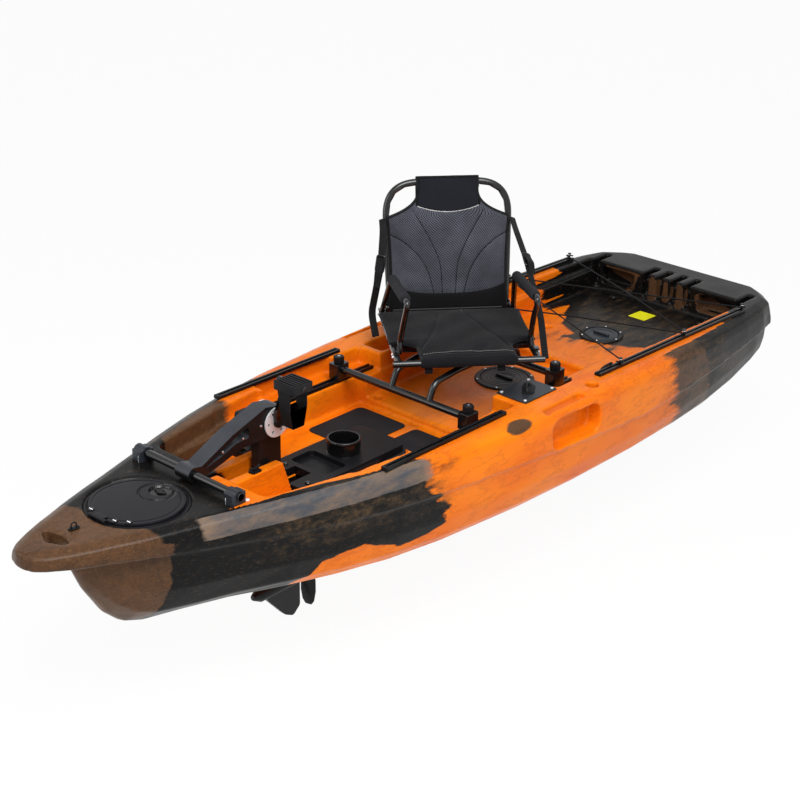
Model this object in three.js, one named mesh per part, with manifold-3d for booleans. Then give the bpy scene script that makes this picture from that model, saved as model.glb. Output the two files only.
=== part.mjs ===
// A sit-on-top pedal kayak: one hollow moulded hull, a pedal drive with a two-blade propeller in a
// well, a swivel seat on two crossbars, gear tracks, hatches and shock cord over the tank well.
// Millimetres, +X to the bow, +Y to port, +Z up. The origin is amidships on the keel line.
import * as THREE from 'three';
import { mergeVertices } from 'three/addons/utils/BufferGeometryUtils.js';
import Module from 'manifold-3d';

const wasm = await Module();
wasm.setup();

// Driving dimensions
const gap = 0.3;         // between pieces that touch
const overrun = 12;      // how far a cut runs past the face it opens
const sides = { round: 28, pipe: 10, small: 12, cord: 8 };

const hull = {
  length: 3200, beam: 968, depth: 360, wall: 5, deckFall: 24, fallStart: -400,
  shoulderIn: 38, shoulderDrop: 12, rimDrop: 40, bulge: 3, crease: 4,
};
const cockpit = {
  front: 925, bulgeMid: 590, bulgeEnd: 418, pocketEnd: 72, boxFront: -65, boxRear: -262,
  frontHalf: 236, shoulderHalf: 262, shoulderX: 815, midHalf: 309, bulgeHalf: 330,
  trackHalf: 366, openHalf: 345, boxHalf: 247, rearHalf: 355,
  ledge: 300, wellHalf: 266, wellRear: 10, floor: 200, seatFloor: 225, narrowHalf: 240,
  ridgeFront: -640, ridgeRear: -700, ridgeTop: 262, corner: 24,
};
const tank = { rear: -1424, floorHalf: 330, half: 355, recessFront: -480, recessRear: -640,
  recessHalf: 380 };
const transom = { notchWide: 26, notchDeep: 30, notchRear: -1512, slotRear: -1452, slotLow: 244,
  pocketRear: -1468, pocketLow: 248, pocketHigh: 316, pocketIn: 150, pocketOut: 298 };
const notchPlaces = [-330, -95, -32, 32, 95, 330];
const slot = { front: 975, rear: 312, half: 32, corner: 30 };
const hump = { foot: 650, rear: 692, half: 66, top: 325 };
const boxPocket = { front: -92, rear: -243, inner: 262, outer: 352, low: 285, corner: 10 };
const handle = { front: -84, rear: -290, inner: 431, outer: 456, low: 240, corner: 9 };
const sidePocket = { front: -95, rear: -340, low: 222, high: 326, depth: 430, corner: 42 };
const rodHole = { x: -364, y: 424, radius: 22, low: 190 };
const bowHandle = { x: 1490, half: 50, wide: 42, bow: 26 };
const scupper = { radius: 15, places: [[-22, 210], [-940, 200], [-1370, 200]] };

const bowHatch = {
  x: 1196, hole: 116, seat: 152, recess: 14, rimHigh: 8, lid: 137, lidThick: 9, dish: 34,
  dishDeep: 5, dishAft: 84, pin: 3, ear: 5, earIn: 24, earOut: 36, knuckle: 6, latchLong: 46,
  latchWide: 12,
};
const hatch = { rimHigh: 8, lidHigh: 6, handLong: 70, handWide: 12, handHigh: 7, running: 1.2 };
const midHatch = { name: 'mid_hatch', x: -440, hole: 76, rim: 105, lid: 84 };
const sternHatch = { name: 'stern_hatch', x: -1012, hole: 60, rim: 82, lid: 64 };

const track = { wide: 24, high: 11, grooveWide: 9, grooveDeep: 7, frontFrom: 29, frontTo: 566,
  frontY: 364, rearFrom: -1342, rearTo: -431, rearY: 396 };
const rail = { wide: 26, high: 12, frontFrom: -58, frontTo: 412, frontY: 283, rearFrom: -450,
  rearTo: -268, rearY: 268 };
const plate = { front: -85, rear: -248, inner: 247, outer: 368, thick: 5, screw: 5, inset: 12 };
const pad = { front: 301, rear: 45, inner: 18, outer: 232, thick: 4, corner: 22 };
const padeye = { x: 1416, foot: 34, footWide: 18, thick: 4, ring: 11, wire: 4 };
const tray = {
  front: 646, rear: 185, half: 105, wall: 4, corner: 34, cupX: 366, cupRadius: 53,
  cupWall: 5, cupTop: 275, deckHigh: 28, binDeep: 18, binFront: 528, binRear: 430, binHalf: 78,
  notchRear: 548, notchHalf: 36, railHigh: 14, railWide: 9, railLow: 6, railRear: 320, bolt: 5,
  boltHigh: 3, boltIn: 18,
};

const drive = {
  pivotX: 1010, pivotZ: 386, bar: 12, barHalf: 226, clampY: 199, clampLong: 52, clampWide: 40,
  clampHigh: 34, cap: 18, hub: 23, hubHalf: 30, armHalf: 29, axleX: 688, axleZ: 448, head: 50, headWall: 5,
  axle: 8, running: 0.6, columnFront: 746, columnRear: 657, columnHalf: 17, neckIn: 4, columnLow: 205,
};
const leg = { front: 738, rear: 574, half: 9, neckZ: 92, flareZ: -60, bodyLow: -126, tipX: 604,
  tipZ: -269, pod: 23, podBore: 18, podZ: -138, podFront: 744, podRear: 552, noseLong: 26, nose: 9,
  boreRear: 661, boreFront: 702 };
const crank = { disc: 48, discThick: 5, discY: 34, boss: 13, bossThick: 13, eye: 10.5, eyeThick: 11,
  eyeIn: 69, flareFrom: 30, flareTo: 104, length: 158, lean: 8.4, spindle: 6, hole: 5, holeRing: 33,
  holes: 6 };
const pedal = { inner: 84, outer: 174, half: 40, thick: 24, bar: 10, strapDrop: 118, strapThick: 4,
  strapWide: 44, strapIn: 4, toeShare: 0.6 };
const gear = { bevel: 30, bevelThick: 8, pinion: 13, pinionThick: 12, teeth: 20, pinionTeeth: 10,
  toothShare: 0.86, shaft: 5, lowPinion: 8, lowPinionThick: 12, lowBevel: 14, lowThick: 9,
  lowTeeth: 12, mesh: 1 };
const propeller = { x: 528, hub: 15, hubLong: 30, radius: 125, chord: 52, thick: 5, pitch: 32 };

const crossbar = { frontX: 98, rearX: -368, z: 346, radius: 12.5 };
const clamp = { long: 54, wide: 44, high: 54, knob: 17, knobHigh: 24, stud: 5, lobes: 6, lobe: 2 };
const base = { pipe: 11, portY: 118, starboardY: -45, topZ: 418, kneeZ: 406, kneeIn: 26, topIn: 130,
  bend: 24, plateThick: 6, plateHalf: 92, turnRadius: 88, turnThick: 6 };
const seat = {
  x: -178, y: 0, turn: 50, z: 465, pipe: 11, half: 247, sideY: 228, front: 226, rear: -225,
  strip: 24, stripX: 62, fabricHalf: 245, fabricFront: 237, fabricRear: -188, fabricThick: 12,
  crown: 12, notchX: 98, notchY: 158, notchCorner: 40, pivotRise: 24, backX: -214, ear: 4, earLong: 30,
  pin: 5,
};
const back = { pipe: 11, footHalf: 201, half: 214, high: 426, lean: 12, corner: 118 };
const panel = { thick: 18, low: -6, shoulder: 312, headLow: 352, top: 446, footHalf: 205, half: 212,
  headHalf: 106, belly: 6, rows: 16, columns: 14, seamDeep: 4, pouch: 8 };
// Seams of the back fan out from foot to head; shares of its half width, and of its height
const seamShares = [[0.14, 0.3], [0.42, 0.82]];
const seamShare = { wide: 0.07, top: 0.75, edge: 0.45 };
const pouchShare = { at: 0.12, wide: 0.08 };
const seatSeamShare = { at: 0.5, wide: 0.08 };
const arm = { pipe: 9, bore: 9.8, sleeve: 17, sleeveFromShare: 0.06, sleeveToShare: 0.87, foot: 14,
  plateIn: 219.5, plateOut: 239, plateThick: 5, bends: [20, 45, 28, 14],
  path: [[-220.6, 230.7, 462], [-118, 210, 632], [262, 208, 686], [192, 210, 596], [152, 214, 520],
    [165.3, 218, 462]] };
const strap = { wide: 25, thick: 3, buckleLong: 60, buckleThick: 9, buckleWide: 34,
  port: [[-272, 222.9, 782], [-205, 224, 760], [-60, 234, 703], [150, 243, 585], [226, 248.9, 466]],
  starboard: [[-270, -222.9, 788], [-218, -226, 764], [-140, -242, 675], [-212, -264, 472],
    [-150, -256, 410]] };
const cord = { radius: 2.5, post: 4, postHigh: 16, head: 7, headHigh: 3, rise: 7, cross: 8,
  out: 18, bend: 19, tailLong: 13, tailIn: 27, places: [-560, -945, -1328] };

// Places along the boat are drawn for this length; on a longer or shorter hull they keep their share
const drawnLength = 3200;
function spread(table, ...names) {
  names.forEach((name) => { table[name] *= hull.length / drawnLength; });
}
spread(cockpit, 'front', 'bulgeMid', 'bulgeEnd', 'pocketEnd', 'boxFront', 'boxRear', 'shoulderX', 'wellRear',
  'ridgeFront', 'ridgeRear');
spread(tank, 'rear', 'recessFront', 'recessRear');
spread(transom, 'notchRear', 'slotRear', 'pocketRear');
[slot, boxPocket, handle, sidePocket, plate, pad].forEach((table) => spread(table, 'front', 'rear'));
spread(hump, 'foot', 'rear');
scupper.places.forEach((place) => spread(place, 0));
[rodHole, bowHandle, bowHatch, midHatch, sternHatch, padeye, propeller, seat]
  .forEach((table) => spread(table, 'x'));
[track, rail].forEach((table) => spread(table, 'frontFrom', 'frontTo', 'rearFrom', 'rearTo'));
spread(tray, 'front', 'rear', 'cupX', 'binFront', 'binRear', 'notchRear', 'railRear');
spread(drive, 'pivotX', 'axleX', 'columnFront', 'columnRear');
spread(leg, 'front', 'rear', 'tipX', 'podFront', 'podRear', 'boreRear', 'boreFront');
spread(crossbar, 'frontX', 'rearX');
spread(hull, 'fallStart');
cord.places = cord.places.map((x) => (x * hull.length) / drawnLength);

const halfLength = hull.length / 2;
const halfBeam = hull.beam / 2;

// Height of the deck plane, level forward and falling gently to the stern
function deckAt(x) {
  const run = Math.max(0, hull.fallStart - x) / (halfLength + hull.fallStart);
  return hull.depth - hull.deckFall * run;
}
const rearSlope = Math.atan(hull.deckFall / (halfLength + hull.fallStart));

// Materials
function finish(color, roughness, metalness = 0) {
  return new THREE.MeshStandardMaterial({ color, roughness, metalness });
}
const moulded = finish(0xe8761c, 0.5);
const black = finish(0x17181a, 0.55);
const rubber = finish(0x202124, 0.85);
const foam = finish(0x2a2b2e, 0.95);
const anodised = finish(0x1c1d20, 0.4, 0.6);
const armGrey = finish(0x3b3d42, 0.5, 0.1);
const bright = finish(0xc9cbce, 0.3, 0.9);
const steel = finish(0x8d9095, 0.35, 0.9);
const mesh = finish(0x55565c, 0.9);
const webbing = finish(0x141416, 0.9);

// Solids from meshes, and meshes from solids
function solid(geometry) {
  const plain = geometry.clone();
  plain.deleteAttribute('normal');
  plain.deleteAttribute('uv');
  const merged = mergeVertices(plain, 1e-4);
  return new wasm.Manifold(new wasm.Mesh({
    numProp: 3,
    vertProperties: new Float32Array(merged.attributes.position.array),
    triVerts: new Uint32Array(merged.index.array),
  }));
}

function geometryOf(body) {
  const data = body.getMesh();
  const geometry = new THREE.BufferGeometry();
  geometry.setAttribute('position', new THREE.BufferAttribute(new Float32Array(data.vertProperties), 3));
  geometry.setIndex(new THREE.BufferAttribute(new Uint32Array(data.triVerts), 1));
  geometry.computeVertexNormals();
  return geometry;
}

const join = (...bodies) => bodies.reduce((whole, next) => whole.add(next));
const cut = (body, ...tools) => tools.reduce((whole, next) => whole.subtract(next), body);

// A geometry turned about X, then Y, then Z, and moved
function place(geometry, x = 0, y = 0, z = 0, turnX = 0, turnY = 0, turnZ = 0) {
  geometry.rotateX(turnX);
  geometry.rotateY(turnY);
  geometry.rotateZ(turnZ);
  geometry.translate(x, y, z);
  return geometry;
}

function block(fromX, toX, fromY, toY, fromZ, toZ) {
  const shape = new THREE.BoxGeometry(Math.abs(toX - fromX), Math.abs(toY - fromY), Math.abs(toZ - fromZ));
  return solid(place(shape, (fromX + toX) / 2, (fromY + toY) / 2, (fromZ + toZ) / 2));
}

// Round bars along each axis, from one place to another
function rodX(radius, fromX, toX, y, z, count = sides.small) {
  const shape = new THREE.CylinderGeometry(radius, radius, Math.abs(toX - fromX), count);
  return solid(place(shape, (fromX + toX) / 2, y, z, 0, 0, Math.PI / 2));
}

function rodY(radius, x, fromY, toY, z, count = sides.small) {
  const shape = new THREE.CylinderGeometry(radius, radius, Math.abs(toY - fromY), count);
  return solid(place(shape, x, (fromY + toY) / 2, z));
}

function rodZ(radius, x, y, fromZ, toZ, count = sides.small) {
  const shape = new THREE.CylinderGeometry(radius, radius, Math.abs(toZ - fromZ), count);
  return solid(place(shape, x, y, (fromZ + toZ) / 2, Math.PI / 2));
}

// A closed outline of points, with its corners rounded
function roundedShape(points, corner = 0, steps = 3) {
  const shape = new THREE.Shape();
  const count = points.length;
  const path = [];
  points.forEach((point, index) => {
    const here = new THREE.Vector2(...point);
    const before = new THREE.Vector2(...points[(index + count - 1) % count]).sub(here);
    const after = new THREE.Vector2(...points[(index + 1) % count]).sub(here);
    const reach = Math.min(corner, before.length() / 2.1, after.length() / 2.1);
    if (reach <= 0) {
      path.push(here);
      return;
    }
    const start = here.clone().add(before.setLength(reach));
    const end = here.clone().add(after.setLength(reach));
    const curve = new THREE.QuadraticBezierCurve(start, here, end);
    path.push(...curve.getPoints(steps));
  });
  shape.setFromPoints(path);
  return shape;
}

// An outline moved outward by the same distance all round; the points run anticlockwise
function grown(points, by) {
  const count = points.length;
  return points.map(([x, y], index) => {
    const before = points[(index + count - 1) % count];
    const after = points[(index + 1) % count];
    const inward = new THREE.Vector2(x - before[0], y - before[1]).normalize();
    const outward = new THREE.Vector2(after[0] - x, after[1] - y).normalize();
    const first = new THREE.Vector2(inward.y, -inward.x);
    const second = new THREE.Vector2(outward.y, -outward.x);
    const middle = first.clone().add(second).normalize();
    const reach = by / Math.max(middle.dot(first), 0.4);
    return [x + middle.x * reach, y + middle.y * reach];
  });
}

// An upright prism over an outline in plan
function prism(points, fromZ, toZ, corner = 0, steps = 3) {
  const options = { depth: toZ - fromZ, bevelEnabled: false };
  const shape = new THREE.ExtrudeGeometry(roundedShape(points, corner, steps), options);
  return solid(place(shape, 0, 0, fromZ));
}

// A prism across the boat, over an outline in side view (x, z)
function sidePrism(points, fromY, toY, corner = 0, steps = 3) {
  const options = { depth: toY - fromY, bevelEnabled: false };
  const shape = new THREE.ExtrudeGeometry(roundedShape(points, corner, steps), options);
  return solid(place(shape, 0, toY, 0, Math.PI / 2));
}

const rectangle = (rear, front, low, high) => [[rear, low], [front, low], [front, high], [rear, high]];

// Straight legs joined by rounded bends, as bent pipe has; bends gives the reach of each bend
function bentPipe(points, radius, bends, count = sides.pipe, bendSteps = 4) {
  const path = new THREE.CurvePath();
  let from = new THREE.Vector3(...points[0]);
  for (let index = 1; index < points.length - 1; index += 1) {
    const here = new THREE.Vector3(...points[index]);
    const back = new THREE.Vector3(...points[index - 1]).sub(here);
    const ahead = new THREE.Vector3(...points[index + 1]).sub(here);
    const reach = Array.isArray(bends) ? bends[index - 1] : bends;
    const start = here.clone().add(back.setLength(reach));
    const end = here.clone().add(ahead.setLength(reach));
    path.add(new THREE.LineCurve3(from, start));
    path.add(new THREE.QuadraticBezierCurve3(start, here, end));
    from = end;
  }
  path.add(new THREE.LineCurve3(from, new THREE.Vector3(...points[points.length - 1])));
  const rings = [];
  path.curves.forEach((part) => {
    const steps = part.isLineCurve3 ? 1 : bendSteps;
    for (let step = 0; step < steps; step += 1) {
      rings.push([part.getPoint(step / steps), part.getTangent(step / steps)]);
    }
  });
  const last = path.curves[path.curves.length - 1];
  rings.push([last.getPoint(1), last.getTangent(1)]);
  return sweep(rings, radius, count);
}

// Rings of a round section carried along places and directions, closed at both ends
function sweep(rings, radius, count) {
  let across = new THREE.Vector3(0, 0, 1);
  if (Math.abs(rings[0][1].z) > 0.9) across = new THREE.Vector3(0, 1, 0);
  const loops = rings.map(([centre, direction]) => {
    const side = new THREE.Vector3().crossVectors(direction, across).normalize();
    across = new THREE.Vector3().crossVectors(side, direction).normalize();
    const loop = [];
    for (let index = 0; index < count; index += 1) {
      const angle = (index / count) * Math.PI * 2;
      loop.push(centre.clone().addScaledVector(side, radius * Math.cos(angle))
        .addScaledVector(across, radius * Math.sin(angle)));
    }
    return loop;
  });
  return loft(loops);
}

// Loops with equal counts of points, skinned one to the next and capped at both ends
function loft(loops) {
  const count = loops[0].length;
  const positions = loops.flat().flatMap((point) => [point.x, point.y, point.z]);
  const faces = [];
  for (let row = 0; row < loops.length - 1; row += 1) {
    for (let index = 0; index < count; index += 1) {
      const next = (index + 1) % count;
      const a = row * count + index;
      const b = row * count + next;
      faces.push(a, b, b + count, a, b + count, a + count);
    }
  }
  [0, loops.length - 1].forEach((row) => {
    const middle = loops[row].reduce((sum, point) => sum.add(point), new THREE.Vector3());
    middle.divideScalar(count);
    const centre = positions.length / 3;
    positions.push(middle.x, middle.y, middle.z);
    for (let index = 0; index < count; index += 1) {
      const a = row * count + index;
      const b = row * count + ((index + 1) % count);
      faces.push(...(row === 0 ? [centre, b, a] : [centre, a, b]));
    }
  });
  const geometry = new THREE.BufferGeometry();
  geometry.setAttribute('position', new THREE.BufferAttribute(new Float32Array(positions), 3));
  geometry.setIndex(faces);
  const body = solid(geometry);
  if (body.volume() > 0) return body;
  for (let index = 0; index < faces.length; index += 3) {
    [faces[index], faces[index + 1]] = [faces[index + 1], faces[index]];
  }
  geometry.setIndex(faces);
  return solid(geometry);
}

// Hull sections from bow to stern: place along half the length, then as shares of half the beam
// the widths of the deck, the crease, the side under it and the bilge, and as shares of the depth
// the heights of the crease, the bilge and the keel
const stationShares = [
  [1, 0.025, 0.025, 0.02, 0.015, 0.883, 0.867, 0.867],
  [0.9925, 0.1, 0.1, 0.087, 0.062, 0.878, 0.867, 0.867],
  [0.975, 0.149, 0.149, 0.132, 0.093, 0.872, 0.858, 0.858],
  [0.941, 0.207, 0.207, 0.182, 0.124, 0.856, 0.842, 0.842],
  [0.909, 0.252, 0.252, 0.217, 0.124, 0.842, 0.822, 0.822],
  [0.905, 0.258, 0.258, 0.03, 0.017, 0.839, 0.764, 0.75],
  [0.875, 0.293, 0.293, 0.114, 0.045, 0.828, 0.486, 0.444],
  [0.8375, 0.341, 0.343, 0.231, 0.079, 0.811, 0.236, 0.181],
  [0.806, 0.376, 0.378, 0.31, 0.114, 0.8, 0.125, 0.05],
  [0.772, 0.413, 0.415, 0.372, 0.149, 0.783, 0.089, 0],
  [0.719, 0.465, 0.469, 0.45, 0.217, 0.767, 0.094, 0],
  [0.636, 0.554, 0.558, 0.545, 0.341, 0.744, 0.117, 0],
  [0.544, 0.653, 0.661, 0.653, 0.496, 0.717, 0.128, 0],
  [0.4375, 0.756, 0.764, 0.752, 0.62, 0.689, 0.117, 0],
  [0.331, 0.835, 0.845, 0.831, 0.713, 0.675, 0.106, 0],
  [0.204, 0.905, 0.917, 0.9, 0.781, 0.661, 0.097, 0],
  [0, 0.967, 0.983, 0.963, 0.837, 0.633, 0.089, 0],
  [-0.181, 0.996, 1, 0.98, 0.857, 0.578, 0.083, 0],
  [-0.25, 0.998, 1, 0.979, 0.857, 0.561, 0.083, 0],
  [-0.3875, 0.998, 1, 0.975, 0.857, 0.528, 0.083, 0.005],
  [-0.5625, 0.979, 0.979, 0.95, 0.843, 0.55, 0.094, 0.022],
  [-0.6875, 0.955, 0.959, 0.926, 0.826, 0.589, 0.117, 0.05],
  [-0.8125, 0.917, 0.926, 0.888, 0.806, 0.633, 0.189, 0.117],
  [-0.9, 0.88, 0.893, 0.855, 0.785, 0.667, 0.272, 0.208],
  [-0.95, 0.837, 0.864, 0.822, 0.76, 0.689, 0.317, 0.272],
  [-0.984, 0.713, 0.795, 0.754, 0.702, 0.7, 0.339, 0.3],
  [-1, 0.62, 0.723, 0.682, 0.64, 0.694, 0.361, 0.328],
];

// Bends of the bottom between keel, bilge and side, as shares out and up
const bilgeShares = [[0.6, 0.35], [0.5, 0.17], [0.84, 0.5]];
// At the narrow bow the shoulder takes at most these shares of the deck's half width
const bowShare = { drop: 0.3, shoulder: 0.6 };
// The hollow inside ends short of the tips, at these shares of half the length
const hollowShare = { bow: 0.84, stern: -0.99 };
// The bow handle starts at this share of the depth
const handleShare = 0.7;

// One cross-section: keel, bilge, side, crease, rim, shoulder and deck edge on port, then mirrored
function sectionPoints([along, deckShare, creaseShare, sideShare, bilgeShare, ...rises]) {
  const [creaseRise, bilgeRise, keelRise] = rises;
  const x = along * halfLength;
  const top = deckAt(x);
  const deckY = deckShare * halfBeam;
  const creaseY = creaseShare * halfBeam;
  const sideY = sideShare * halfBeam;
  const bilgeY = bilgeShare * halfBeam;
  const creaseZ = creaseRise * hull.depth;
  const bilgeZ = bilgeRise * hull.depth;
  const keelZ = keelRise * hull.depth;
  const mix = (from, to, share) => from + (to - from) * share;
  const [keelBend, ...sideBends] = bilgeShares;
  const half = [
    [bilgeY * keelBend[0], mix(keelZ, bilgeZ, keelBend[1])],
    [bilgeY, bilgeZ],
    ...sideBends.map(([out, up]) => [mix(bilgeY, sideY, out), mix(bilgeZ, creaseZ, up)]),
    [sideY, creaseZ - hull.crease],
    [creaseY, creaseZ],
    [(creaseY + deckY) / 2 + hull.bulge, (creaseZ + top - hull.rimDrop) / 2],
    [deckY + hull.bulge, top - hull.rimDrop],
    [deckY - Math.min(hull.shoulderDrop, deckY * bowShare.drop) / 2, top - hull.shoulderDrop],
    [deckY - Math.min(hull.shoulderIn, deckY * bowShare.shoulder), top],
  ];
  const mirrored = half.map(([y, z]) => [-y, z]).reverse();
  return [[0, keelZ], ...half, ...mirrored].map(([y, z]) => new THREE.Vector3(x, y, z));
}

// A section drawn in by the wall on every side
function insetSection(points, by) {
  const flat = points.map((point) => [point.y, point.z]);
  return grown(flat, -by).map(([y, z], index) => new THREE.Vector3(points[index].x, y, z));
}

function hullBody() {
  return loft(stationShares.map(sectionPoints));
}

function hullHollow() {
  const rows = stationShares.filter(([along]) => along < hollowShare.bow && along > hollowShare.stern)
    .map(sectionPoints);
  return loft(rows.map((row) => insetSection(row, hull.wall)));
}

const bothSides = (outline) => [outline, outline.map(([x, y]) => [x, -y]).reverse()];

// Everything that sinks into the deck, grown by the wall when it shapes the hollow
function deckCuts(by) {
  const high = hull.depth + overrun;
  const c = cockpit;
  const list = [];
  const sink = (outline, low, top = high, corner = c.corner) => {
    list.push(prism(grown(outline, by), low - by, top, corner + by));
  };
  const frontEdge = [[c.front, c.frontHalf], [c.shoulderX, c.shoulderHalf], [c.bulgeMid, c.midHalf],
    [c.bulgeEnd, c.bulgeHalf]];
  const starboardEdge = frontEdge.map(([x, y]) => [x, -y]);
  sink([...frontEdge, ...starboardEdge.reverse()], hump.top);
  bothSides([[hump.foot - overrun, hump.half], [c.front, hump.half], ...frontEdge]).forEach((outline) => {
    sink(outline, c.ledge);
  });
  bothSides([[hump.foot - overrun, hump.half], [c.front, hump.half], [c.front, c.frontHalf],
    [c.shoulderX, c.frontHalf + overrun], [hump.foot - overrun, c.wellHalf]])
    .forEach((outline) => sink(outline, c.floor));
  sink(rectangle(c.bulgeEnd - overrun, hump.foot, -c.midHalf, c.midHalf), c.ledge);
  sink(rectangle(c.pocketEnd, c.bulgeEnd, -c.trackHalf, c.trackHalf), c.ledge);
  sink(rectangle(c.boxFront, c.pocketEnd + overrun, -c.openHalf, c.openHalf), c.ledge);
  sink(rectangle(c.boxRear - overrun, c.boxFront + overrun, -c.boxHalf, c.boxHalf), c.ledge);
  sink(rectangle(tank.recessFront, c.boxRear, -c.rearHalf, c.rearHalf), c.ledge);
  sink(rectangle(c.wellRear, hump.foot, -c.wellHalf, c.wellHalf), c.floor);
  const slope = [[hump.foot, c.floor], [hump.rear, hump.top], [hump.rear, high],
    [hump.foot - overrun, high], [hump.foot - overrun, c.floor]];
  const slopeHalf = hump.half + overrun + by;
  list.push(sidePrism(grown(slope, by), -slopeHalf, slopeHalf));
  sink(rectangle(c.ridgeFront, c.wellRear + overrun, -c.narrowHalf, c.narrowHalf), c.seatFloor);
  sink(rectangle(c.ridgeRear - overrun, c.ridgeFront + overrun, -c.narrowHalf, c.narrowHalf), c.ridgeTop);
  sink(rectangle(tank.rear, tank.recessFront + overrun, -tank.half, tank.half), c.ledge);
  sink(rectangle(tank.recessRear, tank.recessFront, -tank.recessHalf, tank.recessHalf), c.ledge);
  sink(rectangle(tank.rear, c.ridgeRear, -tank.floorHalf, tank.floorHalf), c.seatFloor);
  sink(rectangle(slot.rear, slot.front, -slot.half, slot.half), -overrun, high, slot.corner);
  bothSides(rectangle(boxPocket.rear, boxPocket.front, boxPocket.inner, boxPocket.outer))
    .forEach((outline) => sink(outline, boxPocket.low, high, boxPocket.corner));
  bothSides(rectangle(handle.rear, handle.front, handle.inner, handle.outer))
    .forEach((outline) => sink(outline, handle.low, high, handle.corner));
  [1, -1].forEach((side) => {
    const shape = rectangle(sidePocket.rear - by, sidePocket.front + by, sidePocket.low - by,
      sidePocket.high + by);
    const near = side * (sidePocket.depth - by);
    const far = side * (halfBeam + overrun);
    list.push(sidePrism(shape, Math.min(near, far), Math.max(near, far), sidePocket.corner));
    list.push(rodZ(rodHole.radius + by, rodHole.x, side * rodHole.y, rodHole.low - by, high));
    scupper.places.forEach(([x, y]) => {
      list.push(rodZ(scupper.radius + by, x, side * y, -overrun, c.ledge - overrun, sides.pipe));
    });
  });
  return list;
}

// Notches in the transom's top edge and the pockets in its inner wall
function transomCuts(by) {
  const t = transom;
  const reach = (rear, inner, outer, low, high) => block(rear - by, tank.rear + overrun, inner - by,
    outer + by, low - by, high + by);
  const notches = notchPlaces.flatMap((y) => {
    const inner = y - t.notchWide / 2;
    const outer = y + t.notchWide / 2;
    return [reach(t.notchRear, inner, outer, deckAt(-halfLength) - t.notchDeep, hull.depth + overrun),
      reach(t.slotRear, inner, outer, t.slotLow, hull.depth)];
  });
  const pockets = [[t.pocketIn, t.pocketOut], [-t.pocketOut, -t.pocketIn]]
    .map(([inner, outer]) => reach(t.pocketRear, inner, outer, t.pocketLow, t.pocketHigh));
  return [...notches, ...pockets];
}

function bowHandleCut() {
  const from = bowHandle.x - bowHandle.wide / 2;
  const to = bowHandle.x + bowHandle.wide / 2;
  const outline = [[from, -bowHandle.half], [to - bowHandle.bow, -bowHandle.half], [to, 0],
    [to - bowHandle.bow, bowHandle.half], [from, bowHandle.half], [from - bowHandle.bow / 2, 0]];
  return prism(outline, hull.depth * handleShare, hull.depth + overrun, bowHandle.bow / 2);
}

function hatchHole(radius, x, z) {
  return rodZ(radius, x, 0, z - hull.wall - overrun, z + overrun, sides.round);
}

function hullShell() {
  const hollow = cut(hullHollow(), ...deckCuts(hull.wall), recess(bowHatch.seat + hull.wall,
    bowHatch.recess + hull.wall), ...transomCuts(hull.wall));
  return cut(hullBody(), ...deckCuts(0), hollow, recess(bowHatch.seat, bowHatch.recess),
    ...transomCuts(0), bowHandleCut(), hatchHole(bowHatch.hole, bowHatch.x, hull.depth - bowHatch.recess),
    hatchHole(midHatch.hole, midHatch.x, cockpit.seatFloor),
    hatchHole(sternHatch.hole, sternHatch.x, cockpit.seatFloor));
}

function recess(radius, depth) {
  return rodZ(radius, bowHatch.x, 0, hull.depth - depth, hull.depth + overrun, sides.round);
}

// A round plate with a hole, lying flat
function ring(outer, inner, x, y, fromZ, toZ, count = sides.round) {
  return cut(rodZ(outer, x, y, fromZ, toZ, count),
    rodZ(inner, x, y, fromZ - overrun, toZ + overrun, count));
}

// Bow hatch: a rim in the recess, and a lid on a hinge at its forward edge
const hatchFloor = hull.depth - bowHatch.recess;
const lidLow = hatchFloor + gap + bowHatch.rimHigh + gap;
const hinge = { x: bowHatch.x + bowHatch.lid + bowHatch.pin, z: lidLow + bowHatch.lidThick };

function bowHatchRim() {
  const b = bowHatch;
  const rim = ring(b.seat - gap, b.hole, b.x, 0, hatchFloor + gap, lidLow - gap);
  const ears = [[b.earIn, b.earOut], [-b.earOut, -b.earIn]].map(([from, to]) => join(
    block(hinge.x - b.ear, hinge.x + b.ear, from, to, hatchFloor + gap, hinge.z),
    rodY(b.ear, hinge.x, from, to, hinge.z)));
  return join(rim, ...ears, rodY(b.pin, hinge.x, -b.earOut, b.earOut, hinge.z));
}

function bowHatchLid() {
  const b = bowHatch;
  const top = lidLow + b.lidThick;
  const half = b.earIn - gap;
  const clear = hinge.x - b.ear - b.knuckle;
  const disc = cut(rodZ(b.lid, b.x, 0, lidLow, top, sides.round),
    block(clear, hinge.x + overrun, -halfBeam, halfBeam, lidLow - overrun, top + overrun));
  const knuckle = join(block(clear - overrun, hinge.x, -half, half, hinge.z - b.pin, hinge.z + b.knuckle),
    rodY(b.knuckle, hinge.x, -half, half, hinge.z));
  const dish = rodZ(b.dish, b.x - b.dishAft, 0, top - b.dishDeep, top + overrun);
  return cut(join(disc, knuckle), rodY(b.pin + gap, hinge.x, -halfBeam, halfBeam, hinge.z), dish);
}

function bowHatchLatch() {
  const low = lidLow + bowHatch.lidThick - bowHatch.dishDeep + gap;
  const x = bowHatch.x - bowHatch.dishAft;
  return join(rodZ(bowHatch.latchWide, x, 0, low, low + bowHatch.dishDeep),
    block(x - bowHatch.latchWide / 2, x + bowHatch.latchWide / 2, -bowHatch.latchLong / 2,
      bowHatch.latchLong / 2, low, low + bowHatch.dishDeep));
}

function padEye() {
  const low = hull.depth + gap;
  const foot = block(padeye.x - padeye.foot / 2, padeye.x + padeye.foot / 2, -padeye.footWide / 2,
    padeye.footWide / 2, low, low + padeye.thick);
  const middle = low + padeye.ring;
  const eye = cut(rodY(padeye.ring, padeye.x, -padeye.wire / 2, padeye.wire / 2, middle),
    rodY(padeye.ring - padeye.wire, padeye.x, -padeye.wire, padeye.wire, middle + padeye.wire / 2));
  return join(foot, eye);
}

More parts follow.
